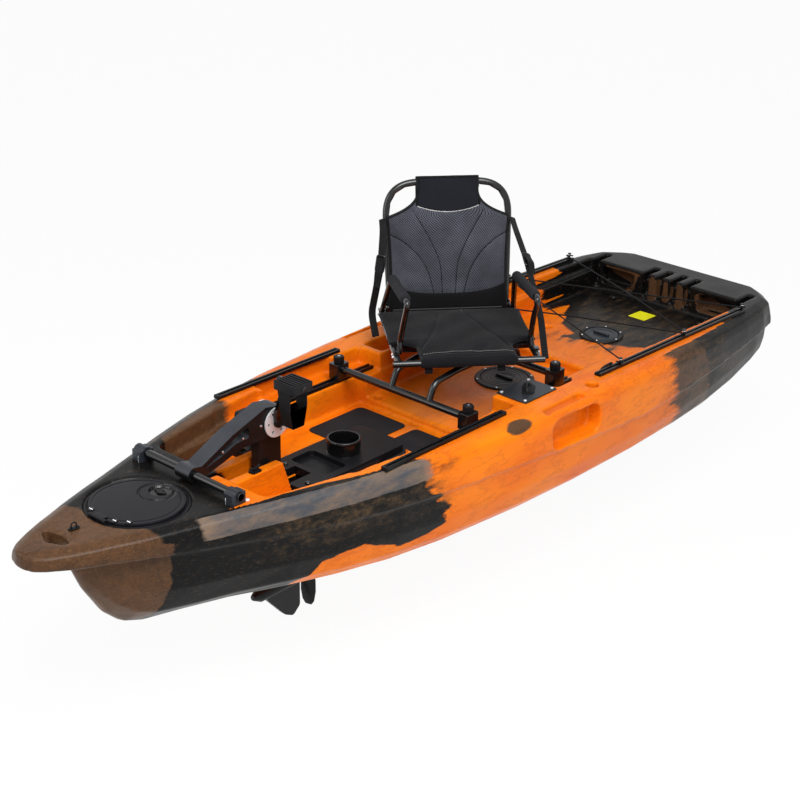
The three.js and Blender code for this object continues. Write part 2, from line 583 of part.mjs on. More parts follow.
// The two deck hatches share one design: a rim on the floor and a cover that turns in it
function hatchRim(spec) {
  const low = cockpit.seatFloor + gap;
  return ring(spec.rim, spec.lid + hatch.running, spec.x, 0, low, low + hatch.rimHigh);
}

function hatchCover(spec) {
  const low = cockpit.seatFloor + gap;
  const top = low + hatch.lidHigh;
  const hand = block(spec.x - hatch.handWide / 2, spec.x + hatch.handWide / 2, -hatch.handLong / 2,
    hatch.handLong / 2, top - gap, top + hatch.handHigh);
  return join(rodZ(spec.lid, spec.x, 0, low, top, sides.round), hand);
}

// Channel profile for the gear tracks and the seat rails
function channel(long, wide, high) {
  const body = block(0, long, -wide / 2, wide / 2, 0, high);
  const groove = block(-overrun, long + overrun, -track.grooveWide / 2, track.grooveWide / 2,
    high - track.grooveDeep, high + overrun);
  return cut(body, groove);
}

// A post with a head, on a track, that the cord hooks over
function cordPost(x) {
  const top = track.high + cord.postHigh;
  return join(rodZ(cord.post, x, 0, track.high - track.grooveDeep, top, sides.pipe),
    rodZ(cord.head, x, 0, top, top + cord.headHigh, sides.pipe));
}

function accessoryPlate() {
  const low = hull.depth + gap;
  const sheet = prism(rectangle(plate.rear, plate.front, plate.inner, plate.outer), low, low + plate.thick,
    plate.screw);
  const screws = [plate.rear + plate.inset, plate.front - plate.inset].flatMap((x) => (
    [plate.inner + plate.inset, plate.outer - plate.inset].map((y) => (
      rodZ(plate.screw, x, y, low, low + plate.thick + gap * 4, sides.pipe)))));
  return join(sheet, ...screws);
}

function footPad(side) {
  const outline = side > 0 ? rectangle(pad.rear, pad.front, pad.inner, pad.outer)
    : rectangle(pad.rear, pad.front, -pad.outer, -pad.inner);
  const low = cockpit.floor + gap;
  const sheet = prism(outline, low, low + pad.thick, pad.corner);
  const under = prism(grown(rectangle(tray.rear, tray.front, -tray.half, tray.half), gap * 2),
    low - overrun, low + pad.thick + overrun, tray.corner + gap * 2);
  return cut(sheet, under);
}

// Console tray: a low deck with an open bin, a cup ring and a side rail with two bolts
function consoleTray() {
  const low = cockpit.floor + gap;
  const top = low + tray.deckHigh;
  const body = prism(rectangle(tray.rear, tray.front, -tray.half, tray.half), low, top, tray.corner);
  const cup = rodZ(tray.cupRadius, tray.cupX, 0, low, tray.cupTop, sides.round);
  const cupHole = rodZ(tray.cupRadius - tray.cupWall, tray.cupX, 0, low + tray.wall, tray.cupTop + overrun,
    sides.round);
  const bin = prism(rectangle(tray.binRear, tray.binFront, -tray.binHalf, tray.binHalf), top - tray.binDeep,
    top + overrun, tray.corner / 2);
  const notch = prism(rectangle(tray.notchRear, tray.front + overrun, -tray.notchHalf, tray.notchHalf),
    low - overrun, top + overrun);
  const railFront = tray.front - tray.corner;
  const bar = block(tray.railRear, railFront, tray.half - tray.wall, tray.half + tray.railWide,
    low + tray.railLow, low + tray.railLow + tray.railHigh);
  const bolts = [tray.railRear + tray.boltIn, railFront - tray.boltIn].map((x) => (
    rodY(tray.bolt, x, tray.half, tray.half + tray.railWide + tray.boltHigh,
      low + tray.railLow + tray.railHigh / 2, sides.pipe)));
  return cut(join(body, cup, bar, ...bolts), cupHole, bin, notch);
}

// Pedal drive: a bar clamped across the deck carries the arched arm, whose head holds the axle
function driveClamp(side) {
  const low = hull.depth + gap;
  const from = side * drive.clampY - drive.clampWide / 2;
  const body = prism(rectangle(drive.pivotX - drive.clampLong / 2, drive.pivotX + drive.clampLong / 2, from,
    from + drive.clampWide), low, low + drive.clampHigh, drive.bar / 2);
  const cap = rodY(drive.cap, drive.pivotX, from, from + drive.clampWide, drive.pivotZ);
  return cut(join(body, cap), rodY(drive.bar + gap, drive.pivotX, from - overrun,
    from + drive.clampWide + overrun, drive.pivotZ));
}

// Side view of the arm as shares: along from the hub to the axle, and up as a share of that rise
const armTopShares = [[0, 0.37], [0.09, 0.27], [0.25, 0.66], [0.463, 1.19], [0.736, 1.66], [0.88, 1.91],
  [1, 1.8]];
const armLowShares = [[1, 0.25], [0.739, 0.306], [0.562, 0.323], [0.339, -0.016], [0.106, -0.33],
  [0.003, -0.36]];
const windowShares = [[0.668, 1.29], [0.581, 1.19], [0.391, 0.76], [0.124, 0.08], [0.342, 0.37],
  [0.506, 0.694], [0.668, 0.71]];

function armPoints(shares) {
  const run = drive.axleX - drive.pivotX;
  const rise = drive.axleZ - drive.pivotZ;
  return shares.map(([along, up]) => [drive.pivotX + run * along, drive.pivotZ + rise * up]);
}

function driveArm() {
  const d = drive;
  const web = sidePrism(armPoints([...armTopShares, ...armLowShares]), -d.armHalf, d.armHalf);
  const window = sidePrism(armPoints(windowShares), -halfBeam, halfBeam, d.axle, 2);
  const hub = rodY(d.hub, d.pivotX, -d.hubHalf, d.hubHalf, d.pivotZ, sides.round);
  const head = rodY(d.head, d.axleX, -d.armHalf, d.armHalf, d.axleZ, sides.round);
  const column = block(d.columnRear, d.columnFront, -d.columnHalf, d.columnHalf, d.columnLow, d.axleZ);
  const cavityHalf = d.armHalf - d.headWall;
  const cavity = rodY(d.head - d.headWall, d.axleX, -cavityHalf, cavityHalf, d.axleZ, sides.round);
  const axleBore = rodY(d.axle + d.running, d.axleX, -halfBeam, halfBeam, d.axleZ);
  const shaftBore = rodZ(gear.shaft + d.running, d.axleX, 0, d.columnLow - overrun, d.axleZ);
  const pivotBore = rodY(d.bar + d.running, d.pivotX, -halfBeam, halfBeam, d.pivotZ, sides.round);
  return cut(join(cut(web, window), hub, head, column), cavity, axleBore, shaftBore, pivotBore);
}

// The leg under the arm: a neck, a fin and a pod for the propeller shaft
function driveLeg() {
  const d = drive;
  const top = d.columnLow - gap;
  const fin = sidePrism([[leg.front, top], [d.columnRear, top], [d.columnRear, leg.neckZ],
    [leg.rear, leg.flareZ], [leg.rear, leg.tipZ + leg.half * 3], [leg.tipX, leg.tipZ],
    [leg.tipX + leg.half * 4, leg.tipZ + leg.half * 2],
    [leg.front - leg.half * 3, leg.bodyLow - leg.pod * 2], [leg.front, leg.bodyLow]],
  -leg.half, leg.half, leg.half);
  const neckHalf = d.columnHalf - d.neckIn;
  const neck = block(d.columnRear, leg.front, -neckHalf, neckHalf, leg.neckZ, top);
  const pod = rodX(leg.pod, leg.podRear, leg.podFront, 0, leg.podZ, sides.round);
  const nose = new THREE.CylinderGeometry(leg.nose, leg.pod, leg.noseLong, sides.round);
  const cone = solid(place(nose, leg.podFront + leg.noseLong / 2, 0, leg.podZ, 0, 0, -Math.PI / 2));
  const gearBore = rodX(leg.podBore, leg.boreRear, leg.boreFront, 0, leg.podZ);
  const bore = gear.shaft + d.running;
  const shaftBore = rodX(bore, leg.podRear - overrun, leg.boreRear + overrun, 0, leg.podZ);
  const downBore = rodZ(bore, d.axleX, 0, leg.podZ, top + overrun);
  return cut(join(fin, neck, pod, cone), gearBore, shaftBore, downBore);
}

// A toothed wheel along an axis: teeth are alternate long and short radii
function cog(radius, thick, teeth) {
  const shape = new THREE.Shape();
  const points = [];
  for (let index = 0; index < teeth * 4; index += 1) {
    const reach = index % 4 < 2 ? radius : radius * gear.toothShare;
    const angle = (index / (teeth * 4)) * Math.PI * 2;
    points.push(new THREE.Vector2(reach * Math.cos(angle), reach * Math.sin(angle)));
  }
  shape.setFromPoints(points);
  return new THREE.ExtrudeGeometry(shape, { depth: thick, bevelEnabled: false });
}

function crankGear() {
  const from = gear.pinion + gear.mesh;
  const wheel = solid(place(cog(gear.bevel, gear.bevelThick, gear.teeth), drive.axleX,
    from + gear.bevelThick, drive.axleZ, Math.PI / 2));
  return cut(wheel, rodY(drive.axle + gap, drive.axleX, 0, halfBeam, drive.axleZ));
}

function driveShaft() {
  const topZ = drive.axleZ - gear.bevel * gear.toothShare;
  const lowTop = leg.podZ + gear.lowBevel;
  const shaft = rodZ(gear.shaft, drive.axleX, 0, leg.podZ + gear.lowPinion, topZ);
  const upper = solid(place(cog(gear.pinion, gear.pinionThick, gear.pinionTeeth), drive.axleX, 0,
    topZ - gear.pinionThick));
  const lower = solid(place(cog(gear.lowPinion, gear.lowPinionThick, gear.pinionTeeth), drive.axleX, 0,
    lowTop - gear.lowPinionThick));
  return join(shaft, upper, lower);
}

function propShaft() {
  const front = drive.axleX - gear.lowPinion - gear.mesh;
  const rear = propeller.x - propeller.hubLong / 2;
  const wheel = solid(place(cog(gear.lowBevel, gear.lowThick, gear.lowTeeth), front - gear.lowThick, 0,
    leg.podZ, 0, Math.PI / 2));
  return join(rodX(gear.shaft, rear, front, 0, leg.podZ), wheel);
}

// Blade rows from root to tip: reach, chord and thickness as shares; then a row's corners
const bladeShares = [[0.05, 0.6, 1.07], [0.3, 0.92, 0.89], [0.6, 1, 0.68], [0.88, 0.82, 0.48],
  [1, 0.45, 0.4]];
const bladeCornerShares = [[-1, 0], [-0.3, 1], [0.6, 1], [1, 0], [0.4, -1], [-0.5, -1]];

function propellerBody() {
  const p = propeller;
  const hub = rodX(p.hub, p.x - p.hubLong / 2, p.x + p.hubLong / 2, 0, leg.podZ, sides.round);
  const blades = [1, -1].map((side) => {
    const loops = bladeShares.map(([share, chordShare, thickShare]) => {
      const chord = (p.chord * chordShare) / 2;
      const turn = Math.atan2(p.pitch, Math.max(p.radius * share, p.hub));
      const thick = (p.thick * thickShare) / 2;
      const corners = bladeCornerShares.map(([along, across]) => [along * chord, across * thick]);
      return corners.map(([along, across]) => {
        const y = along * Math.cos(turn) - across * Math.sin(turn);
        const x = along * Math.sin(turn) + across * Math.cos(turn);
        return new THREE.Vector3(p.x + x, side * y, leg.podZ + side * p.radius * share);
      });
    });
    return loft(loops);
  });
  return cut(join(hub, ...blades), rodX(gear.shaft + gap, p.x - p.hubLong, p.x + p.hubLong, 0, leg.podZ));
}

// Cranks lean forward from upright by a fixed angle; port is up when starboard is down
const leanAngle = THREE.MathUtils.degToRad(crank.lean);
function spindleAt(side) {
  return { x: drive.axleX + side * crank.length * Math.sin(leanAngle),
    z: drive.axleZ + side * crank.length * Math.cos(leanAngle) };
}

function crankDisc(side) {
  const from = side * crank.discY - crank.discThick / 2;
  const to = from + crank.discThick;
  const holes = [];
  for (let index = 0; index < crank.holes; index += 1) {
    const angle = (index / crank.holes) * Math.PI * 2;
    const x = drive.axleX + crank.holeRing * Math.cos(angle);
    holes.push(rodY(crank.hole, x, from - overrun, to + overrun,
      drive.axleZ + crank.holeRing * Math.sin(angle), sides.pipe));
  }
  return cut(rodY(crank.disc, drive.axleX, from, to, drive.axleZ, sides.round),
    rodY(drive.axle + gap, drive.axleX, from - overrun, to + overrun, drive.axleZ), ...holes);
}

// A crank leaves its boss close to the disc and flares outward to pass the raised well
const bossIn = crank.discY + crank.discThick / 2 + gap;
const bossOut = bossIn + crank.bossThick;
const eyeOut = crank.eyeIn + crank.eyeThick;
function crankArm(side) {
  const at = spindleAt(side);
  const along = new THREE.Vector3(at.x - drive.axleX, 0, at.z - drive.axleZ).normalize();
  const across = new THREE.Vector3(along.z, 0, -along.x);
  const stations = [[0, crank.boss, bossIn, bossOut], [crank.flareFrom, crank.boss, bossIn, bossOut],
    [crank.flareTo, crank.eye, crank.eyeIn, eyeOut], [crank.length, crank.eye, crank.eyeIn, eyeOut]];
  const bar = loft(stations.map(([reach, half, inner, outer]) => (
    [[-half, inner], [half, inner], [half, outer], [-half, outer]].map(([wide, y]) => (
      new THREE.Vector3(drive.axleX, side * y, drive.axleZ).addScaledVector(along, reach)
        .addScaledVector(across, wide))))));
  const ends = [bar, acrossRod(crank.boss, drive.axleX, drive.axleZ, side, bossIn, bossOut),
    acrossRod(crank.eye, at.x, at.z, side, crank.eyeIn, eyeOut),
    acrossRod(crank.spindle, at.x, at.z, side, crank.eyeIn, pedal.outer - pedal.bar)];
  return cut(join(...ends), rodY(drive.axle + gap, drive.axleX, -halfBeam, halfBeam, drive.axleZ));
}

// A round bar across the boat on one side of it
function acrossRod(radius, x, z, side, inner, outer) {
  return rodY(radius, x, Math.min(side * inner, side * outer), Math.max(side * inner, side * outer), z);
}

function pedalBody(side) {
  const at = spindleAt(side);
  const from = Math.min(side * pedal.inner, side * pedal.outer);
  const to = Math.max(side * pedal.inner, side * pedal.outer);
  const body = prism(rectangle(at.x - pedal.half, at.x + pedal.half, from, to), at.z - pedal.thick / 2,
    at.z + pedal.thick / 2, pedal.bar);
  const windows = [1, -1].map((way) => {
    const near = at.x + way * (crank.spindle + pedal.bar);
    const far = at.x + way * (pedal.half - pedal.bar);
    return prism(rectangle(Math.min(near, far), Math.max(near, far), from + pedal.bar, to - pedal.bar),
      at.z - pedal.thick, at.z + pedal.thick, pedal.bar / 4);
  });
  return cut(body, ...windows, rodY(crank.spindle + gap, at.x, from - overrun, to + overrun, at.z));
}

// The strap's loop stands on the side of the pedal that faces the axle
function pedalStrap(side) {
  const at = spindleAt(side);
  const half = pedal.half - pedal.strapIn;
  const middle = (pedal.inner + pedal.outer) / 2;
  const near = at.z - side * (pedal.thick / 2 + gap);
  const toe = half * pedal.toeShare;
  const loop = (by, open) => [[half - by, -open], [half - by, pedal.strapDrop / 2],
    [toe, pedal.strapDrop - by], [-toe, pedal.strapDrop - by], [by - half, pedal.strapDrop / 2],
    [by - half, -open]].map(([x, drop]) => [at.x + x, near - side * drop]);
  const from = Math.min(side * (middle - pedal.strapWide / 2), side * (middle + pedal.strapWide / 2));
  const to = from + pedal.strapWide;
  const outer = sidePrism(loop(0, 0), from, to);
  return cut(outer, sidePrism(loop(pedal.strapThick, overrun), from - overrun, to + overrun));
}

// Crossbars: a round bar with a block at each end that sits on its seat rail
const railTop = cockpit.ledge + gap + rail.high;
function crossbarBody(x, y) {
  const blocks = [1, -1].map((side) => prism(rectangle(x - clamp.long / 2, x + clamp.long / 2,
    side * y - clamp.wide / 2, side * y + clamp.wide / 2), railTop + gap, railTop + gap + clamp.high,
  clamp.stud));
  return join(rodY(crossbar.radius, x, -y, y, crossbar.z), ...blocks);
}

function clampKnob() {
  const points = [];
  for (let index = 0; index < clamp.lobes * 4; index += 1) {
    const angle = (index / (clamp.lobes * 4)) * Math.PI * 2;
    const reach = clamp.knob + clamp.lobe * Math.cos(angle * clamp.lobes);
    points.push([reach * Math.cos(angle), reach * Math.sin(angle)]);
  }
  return prism(points, 0, clamp.knobHigh);
}

// Seat base: two bent pipes between the crossbars with a flat plate and a turning ring on top
function seatBase() {
  const [front, rear] = [crossbar.frontX, crossbar.rearX];
  const pipes = [base.portY, base.starboardY].map((y) => bentPipe([[front, y, crossbar.z],
    [front - base.kneeIn, y, base.kneeZ], [front - base.topIn, y, base.topZ],
    [rear + base.topIn, y, base.topZ], [rear + base.kneeIn, y, base.kneeZ], [rear, y, crossbar.z]],
  base.pipe, base.bend));
  const saddles = [front, rear].map((x) => rodY(crossbar.radius + gap, x, -halfBeam, halfBeam, crossbar.z));
  const plateZ = base.topZ + base.pipe / 2;
  const sheet = block(seat.x - base.plateHalf, seat.x + base.plateHalf, base.starboardY - base.pipe,
    base.portY + base.pipe, plateZ, plateZ + base.plateThick);
  const turn = rodZ(base.turnRadius, seat.x, seat.y, plateZ, turnLow - gap, sides.round);
  return cut(join(...pipes, sheet, turn), ...saddles);
}
const turnLow = base.topZ + base.pipe / 2 + base.plateThick * 2 + gap;

// The seat stands in a group of its own, turned about the swivel; here x is the seat's forward
const swivel = new THREE.Group();
swivel.position.set(seat.x, seat.y, 0);
swivel.rotation.z = THREE.MathUtils.degToRad(seat.turn);
const pivotZ = seat.z + seat.pivotRise;
const leanBack = THREE.MathUtils.degToRad(back.lean);

function seatFrame() {
  const s = seat;
  const cross = [s.front, s.rear].map((x, index) => rodY(s.pipe, x, index ? -s.sideY : -s.half,
    index ? s.sideY : s.half, s.z, sides.pipe));
  const rails = [1, -1].map((side) => rodX(s.pipe, s.rear, s.front, side * s.sideY, s.z, sides.pipe));
  const strips = [1, -1].map((side) => block(side * s.stripX - s.strip / 2, side * s.stripX + s.strip / 2,
    -s.sideY, s.sideY, turnLow + base.turnThick - gap, s.z - s.pipe / 2));
  const turn = rodZ(base.turnRadius, 0, 0, turnLow, turnLow + base.turnThick, sides.round);
  // Ears with pins hold the back
  const half = s.earLong / 2;
  const near = back.footHalf + back.pipe + gap * 2;
  const ears = [1, -1].map((side) => join(
    block(s.backX - half, s.backX + half, side * near, side * (near + s.ear), s.z, pivotZ),
    acrossRod(half, s.backX, pivotZ, side, near, near + s.ear),
    acrossRod(s.pin, s.backX, pivotZ, side, back.footHalf - back.pipe, near + s.ear)));
  return join(...cross, ...rails, ...strips, turn, ...ears);
}

// A closed padded sheet over a grid; place gives the point under and the lift gives the crown
function padding(columns, rows, point, thickness) {
  const loops = [];
  for (let row = 0; row <= rows; row += 1) {
    const loop = [];
    for (let column = 0; column <= columns; column += 1) {
      loop.push(point(column / columns, row / rows, thickness(column / columns, row / rows)));
    }
    for (let column = columns; column >= 0; column -= 1) {
      loop.push(point(column / columns, row / rows, 0));
    }
    loops.push(loop);
  }
  return loft(loops);
}

// A soft rise or dip around one place, as a share
const bump = (value, at, wide) => Math.exp(-(((value - at) / wide) ** 2));
const crownShare = (u, v) => (1 - Math.abs(2 * u - 1) ** 3) * (1 - Math.abs(2 * v - 1) ** 3);

function seatFabric() {
  const s = seat;
  const low = s.z + s.pipe + gap;
  const point = (u, v, lift) => new THREE.Vector3(s.fabricRear + (s.fabricFront - s.fabricRear) * v,
    (2 * u - 1) * (s.fabricHalf - s.crown / 2 * Math.sin(Math.PI * v)), low + lift);
  const thickness = (u, v) => {
    const seam = bump(Math.abs(2 * u - 1), seatSeamShare.at, seatSeamShare.wide);
    return s.fabricThick + s.crown * crownShare(u, v) - panel.seamDeep * seam;
  };
  const sheet = padding(panel.columns, panel.columns, point, thickness);
  const past = s.fabricFront + s.notchX;
  const notches = bothSides(rectangle(s.notchX, past, s.notchY, past))
    .map((outline) => prism(outline, low - overrun, low + s.z, s.notchCorner));
  return cut(sheet, ...notches);
}

// The back leans in a group of its own at its pivot: here z runs up the back
const backGroup = new THREE.Group();
backGroup.position.set(seat.backX, 0, pivotZ);
backGroup.rotation.y = -leanBack;

function backFrame() {
  const b = back;
  const hoop = bentPipe([[0, -b.footHalf, 0], [0, -b.half, b.high], [0, b.half, b.high],
    [0, b.footHalf, 0]], b.pipe, b.corner);
  const eyes = [1, -1].map((side) => (
    acrossRod(b.pipe, 0, 0, side, b.footHalf - b.pipe, b.footHalf + b.pipe)));
  return cut(join(hoop, ...eyes), rodY(seat.pin + gap, 0, -halfBeam, halfBeam, 0));
}

function panelHalf(up) {
  const p = panel;
  if (up < p.shoulder) {
    const part = up / p.shoulder;
    return p.footHalf + (p.half - p.footHalf) * part - p.belly * Math.sin(Math.PI * part);
  }
  if (up > p.headLow) return p.headHalf;
  const share = (up - p.shoulder) / (p.headLow - p.shoulder);
  return p.half + (p.headHalf - p.half) * Math.sin((share * Math.PI) / 2);
}

function backPanel() {
  const p = panel;
  const point = (u, v, lift) => {
    const up = p.low + (p.top - p.low) * v;
    return new THREE.Vector3(back.pipe + gap + lift, (1 - 2 * u) * panelHalf(up), up);
  };
  const thickness = (u, v) => {
    const across = Math.abs(2 * u - 1);
    const seams = seamShares.map(([foot, head]) => (
      bump(across, foot + (head - foot) * Math.min(v / seamShare.top, 1), seamShare.wide)));
    const pouch = p.pouch * bump(v, pouchShare.at, pouchShare.wide) * (1 - across ** 6);
    return p.thick * (seamShare.edge + (1 - seamShare.edge) * crownShare(u, v)) + pouch
      - p.seamDeep * Math.max(...seams) * (v < seamShare.top ? 1 : 0);
  };
  return padding(p.columns, p.rows, point, thickness);
}

// An armrest is one bent hoop on two foot plates, with a foam sleeve along its top
const armPath = (side) => arm.path.map(([x, y, z]) => [x, side * y, z]);

function armrest(side) {
  const low = seat.z + seat.pipe + gap;
  const path = armPath(side);
  const feet = [path[0], path[path.length - 1]].map(([x]) => block(x - arm.foot, x + arm.foot,
    side * arm.plateIn, side * arm.plateOut, low, low + arm.plateThick));
  return cut(join(bentPipe(path, arm.pipe, arm.bends), ...feet),
    block(-halfBeam, halfBeam, -halfBeam, halfBeam, 0, low));
}

function armSleeve(side) {
  const [, rear, front] = armPath(side).map((point) => new THREE.Vector3(...point));
  const along = new THREE.Vector3().subVectors(front, rear).normalize();
  const at = (share, past) => [rear.clone().lerp(front, share).addScaledVector(along, past), along];
  const tube = (radius, past, count) => sweep([at(arm.sleeveFromShare, -past), at(arm.sleeveToShare, past)],
    radius, count);
  return cut(tube(arm.sleeve, 0, sides.small), tube(arm.bore, overrun, sides.pipe));
}

// A flat ribbon along its points, its width kept upright
function ribbon(points, wide, thick) {
  const path = points.map((point) => new THREE.Vector3(...point));
  return loft(path.map((point, index) => {
    const ahead = path[Math.min(index + 1, path.length - 1)];
    const behind = path[Math.max(index - 1, 0)];
    const along = new THREE.Vector3().subVectors(ahead, behind).normalize();
    const out = new THREE.Vector3(0, 1, 0).addScaledVector(along, -along.y).normalize();
    const up = new THREE.Vector3().crossVectors(along, out);
    return [[-1, -1], [1, -1], [1, 1], [-1, 1]].map(([across, high]) => point.clone()
      .addScaledVector(out, (across * thick) / 2).addScaledVector(up, (high * wide) / 2));
  }));
}

// A side strap from high on the back, with a buckle where it turns away from it
function sideStrap(points) {
  const t = strap;
  const [, , from, to] = points.map((point) => new THREE.Vector3(...point));
  const reach = t.buckleLong / 2 / from.distanceTo(to);
  const ends = [-reach, reach].map((share) => from.clone().lerp(to, share).toArray());
  return join(ribbon(points, t.wide, t.thick), ribbon(ends, t.buckleWide, t.buckleThick));
}

// Shock cord zigzags from post to post over the tank well; the second lies over the first
function shockCord(first, rise) {
  const [front, middle, rear] = cord.places;
  const high = (x) => deckAt(x) + gap + track.high + cord.rise;
  const at = (x, side) => [x, side * (track.rearY + cord.out), high(x)];
  const tail = (x, way) => [x + way * cord.tailLong, first * (track.rearY + cord.out - cord.tailIn),
    high(x)];
  const crossing = (from, to) => [(from + to) / 2, 0, high((from + to) / 2) + rise];
  return bentPipe([tail(front, 1), at(front, first), crossing(front, middle), at(middle, -first),
    crossing(middle, rear), at(rear, first), tail(rear, -1)], cord.radius, cord.bend, sides.cord, 3);
}

const group = new THREE.Group();
group.name = 'pedal_kayak';

function add(name, body, material, parent = group) {
  const piece = new THREE.Mesh(body.isBufferGeometry ? body : geometryOf(body), material);
  piece.name = name;
  parent.add(piece);
  return piece;
}

const boatSides = [['port', 1], ['starboard', -1]];

add('hull_shell', hullShell(), moulded);
add('bow_hatch_rim', bowHatchRim(), black);
add('bow_hatch_lid', bowHatchLid(), black);
add('bow_hatch_latch', bowHatchLatch(), black);
add('bow_padeye', padEye(), black);
[midHatch, sternHatch].forEach((spec) => {
  add(`${spec.name}_rim`, hatchRim(spec), black);
  add(`${spec.name}_cover`, hatchCover(spec), black);
});
add('console_tray', consoleTray(), black);
boatSides.forEach(([name, side]) => {
  add(`foot_pad_${name}`, footPad(side), foam);
  const frontLong = track.frontTo - track.frontFrom;
  const front = add(`gear_track_front_${name}`, channel(frontLong, track.wide, track.high), anodised);
  front.position.set(track.frontFrom, side * track.frontY, hull.depth + gap);
  const long = track.rearTo - track.rearFrom;
  const posts = cord.places.map((x) => cordPost(x - track.rearFrom));
  const rear = add(`gear_track_rear_${name}`, join(channel(long, track.wide, track.high), ...posts),
    anodised);
  rear.position.set(track.rearFrom, side * track.rearY, deckAt(track.rearFrom) + gap);
  rear.rotation.y = -rearSlope;
  [['front', rail.frontFrom, rail.frontTo, rail.frontY], ['rear', rail.rearFrom, rail.rearTo, rail.rearY]]
    .forEach(([end, from, to, y]) => {
      const bar = add(`seat_rail_${end}_${name}`, channel(to - from, rail.wide, rail.high), anodised);
      bar.position.set(from, side * y, cockpit.ledge + gap);
    });
});
add('accessory_plate', accessoryPlate(), black);

const barEnd = drive.barHalf;
add('drive_bar', rodY(drive.bar, drive.pivotX, -barEnd, barEnd, drive.pivotZ, sides.small), anodised);
boatSides.forEach(([name, side]) => add(`drive_clamp_${name}`, driveClamp(side), black));
add('drive_arm', driveArm(), armGrey);
add('drive_leg', driveLeg(), black);
add('crank_axle', rodY(drive.axle, drive.axleX, -bossOut, bossOut, drive.axleZ), steel);
boatSides.forEach(([name, side]) => {
  add(`crank_disc_${name}`, crankDisc(side), bright);
  add(`crank_arm_${name}`, crankArm(side), black);
  add(`pedal_${name}`, pedalBody(side), black);
  add(`pedal_strap_${name}`, pedalStrap(side), rubber);
});
add('crank_gear', crankGear(), steel);
add('drive_shaft', driveShaft(), steel);
add('prop_shaft', propShaft(), steel);
add('propeller', propellerBody(), black);

[['front', crossbar.frontX, rail.frontY], ['rear', crossbar.rearX, rail.rearY]].forEach(([end, x, y]) => {
  add(`crossbar_${end}`, crossbarBody(x, y), anodised);
  boatSides.forEach(([name, side]) => {
    const knob = add(`clamp_knob_${end}_${name}`, clampKnob(), black);
    knob.position.set(x, side * y, railTop + gap + clamp.high + gap);
  });
});
add('seat_base', seatBase(), anodised);

group.add(swivel);
swivel.add(backGroup);
add('seat_frame', seatFrame(), anodised, swivel);
add('seat_fabric', seatFabric(), mesh, swivel);
add('back_frame', backFrame(), anodised, backGroup);
add('back_panel', backPanel(), mesh, backGroup);
boatSides.forEach(([name, side]) => {
  add(`armrest_${name}`, armrest(side), anodised, swivel);
  add(`armrest_sleeve_${name}`, armSleeve(side), foam, swivel);
  add(`side_strap_${name}`, sideStrap(strap[name]), webbing, swivel);
});
add('shock_cord_lower', shockCord(1, 0), rubber);
add('shock_cord_upper', shockCord(-1, cord.cross), rubber);

export default group;
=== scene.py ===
import math
import bmesh
import bpy
import numpy as np
from mathutils import Matrix, Vector


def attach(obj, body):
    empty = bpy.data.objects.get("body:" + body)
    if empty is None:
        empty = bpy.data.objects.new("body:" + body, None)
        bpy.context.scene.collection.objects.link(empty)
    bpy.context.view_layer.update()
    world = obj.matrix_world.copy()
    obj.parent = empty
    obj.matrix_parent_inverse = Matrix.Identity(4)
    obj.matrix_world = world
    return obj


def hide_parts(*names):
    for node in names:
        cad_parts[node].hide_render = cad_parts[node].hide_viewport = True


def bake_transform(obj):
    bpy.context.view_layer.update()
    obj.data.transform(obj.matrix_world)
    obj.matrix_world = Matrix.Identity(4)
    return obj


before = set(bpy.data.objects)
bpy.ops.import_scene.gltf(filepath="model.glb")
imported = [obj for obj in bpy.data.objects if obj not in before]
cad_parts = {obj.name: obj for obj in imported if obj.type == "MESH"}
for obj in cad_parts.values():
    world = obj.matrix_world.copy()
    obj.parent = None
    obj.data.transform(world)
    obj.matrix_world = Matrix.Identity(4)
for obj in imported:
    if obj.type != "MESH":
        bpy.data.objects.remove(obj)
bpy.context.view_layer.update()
mm = 0.001  # pieces are worked out in millimetres
scene = bpy.context.scene

# Camera at the photograph's angle
cameraValues = {"place": (3.782, 3.300, 2.549), "yaw": 41.9, "pitch": 24.28, "roll": 1.04, "lens": 75.06}


def makeCamera(values):
    # Looks along yaw and pitch; its roll turns right and top about that line
    yaw, pitch, roll = (math.radians(values[key]) for key in ("yaw", "pitch", "roll"))
    ahead = Vector((-math.cos(yaw) * math.cos(pitch), -math.sin(yaw) * math.cos(pitch), -math.sin(pitch)))
    side = ahead.cross(Vector((0, 0, 1))).normalized()
    up = side.cross(ahead)
    right = side * math.cos(roll) + up * math.sin(roll)
    top = up * math.cos(roll) - side * math.sin(roll)
    lens = bpy.data.cameras.new("view")
    lens.lens, lens.sensor_width = values["lens"], 36
    camera = bpy.data.objects.new("view", lens)
    turn = Matrix((right, top, -ahead)).transposed().to_4x4()
    camera.matrix_world = Matrix.Translation(values["place"]) @ turn
    scene.collection.objects.link(camera)
    scene.camera = camera


makeCamera(cameraValues)
print("camera set")


# Shapes
def linked(name, data):
    # A new object in the scene
    made = bpy.data.objects.new(name, data)
    scene.collection.objects.link(made)
    return made


def newPiece(name, points, faces, uv=None):
    # Points in millimetres, faces as lists of corners, uv one pair for each corner of each face
    mesh = bpy.data.meshes.new(name)
    mesh.from_pydata((np.asarray(points, float) * mm).tolist(), [], faces)
    if uv is not None:
        flat = np.zeros((len(mesh.loops), 2))
        flat[:len(uv)] = uv
        mesh.uv_layers.new(name="UVMap").data.foreach_set("uv", flat.ravel())
    return linked(name, mesh)


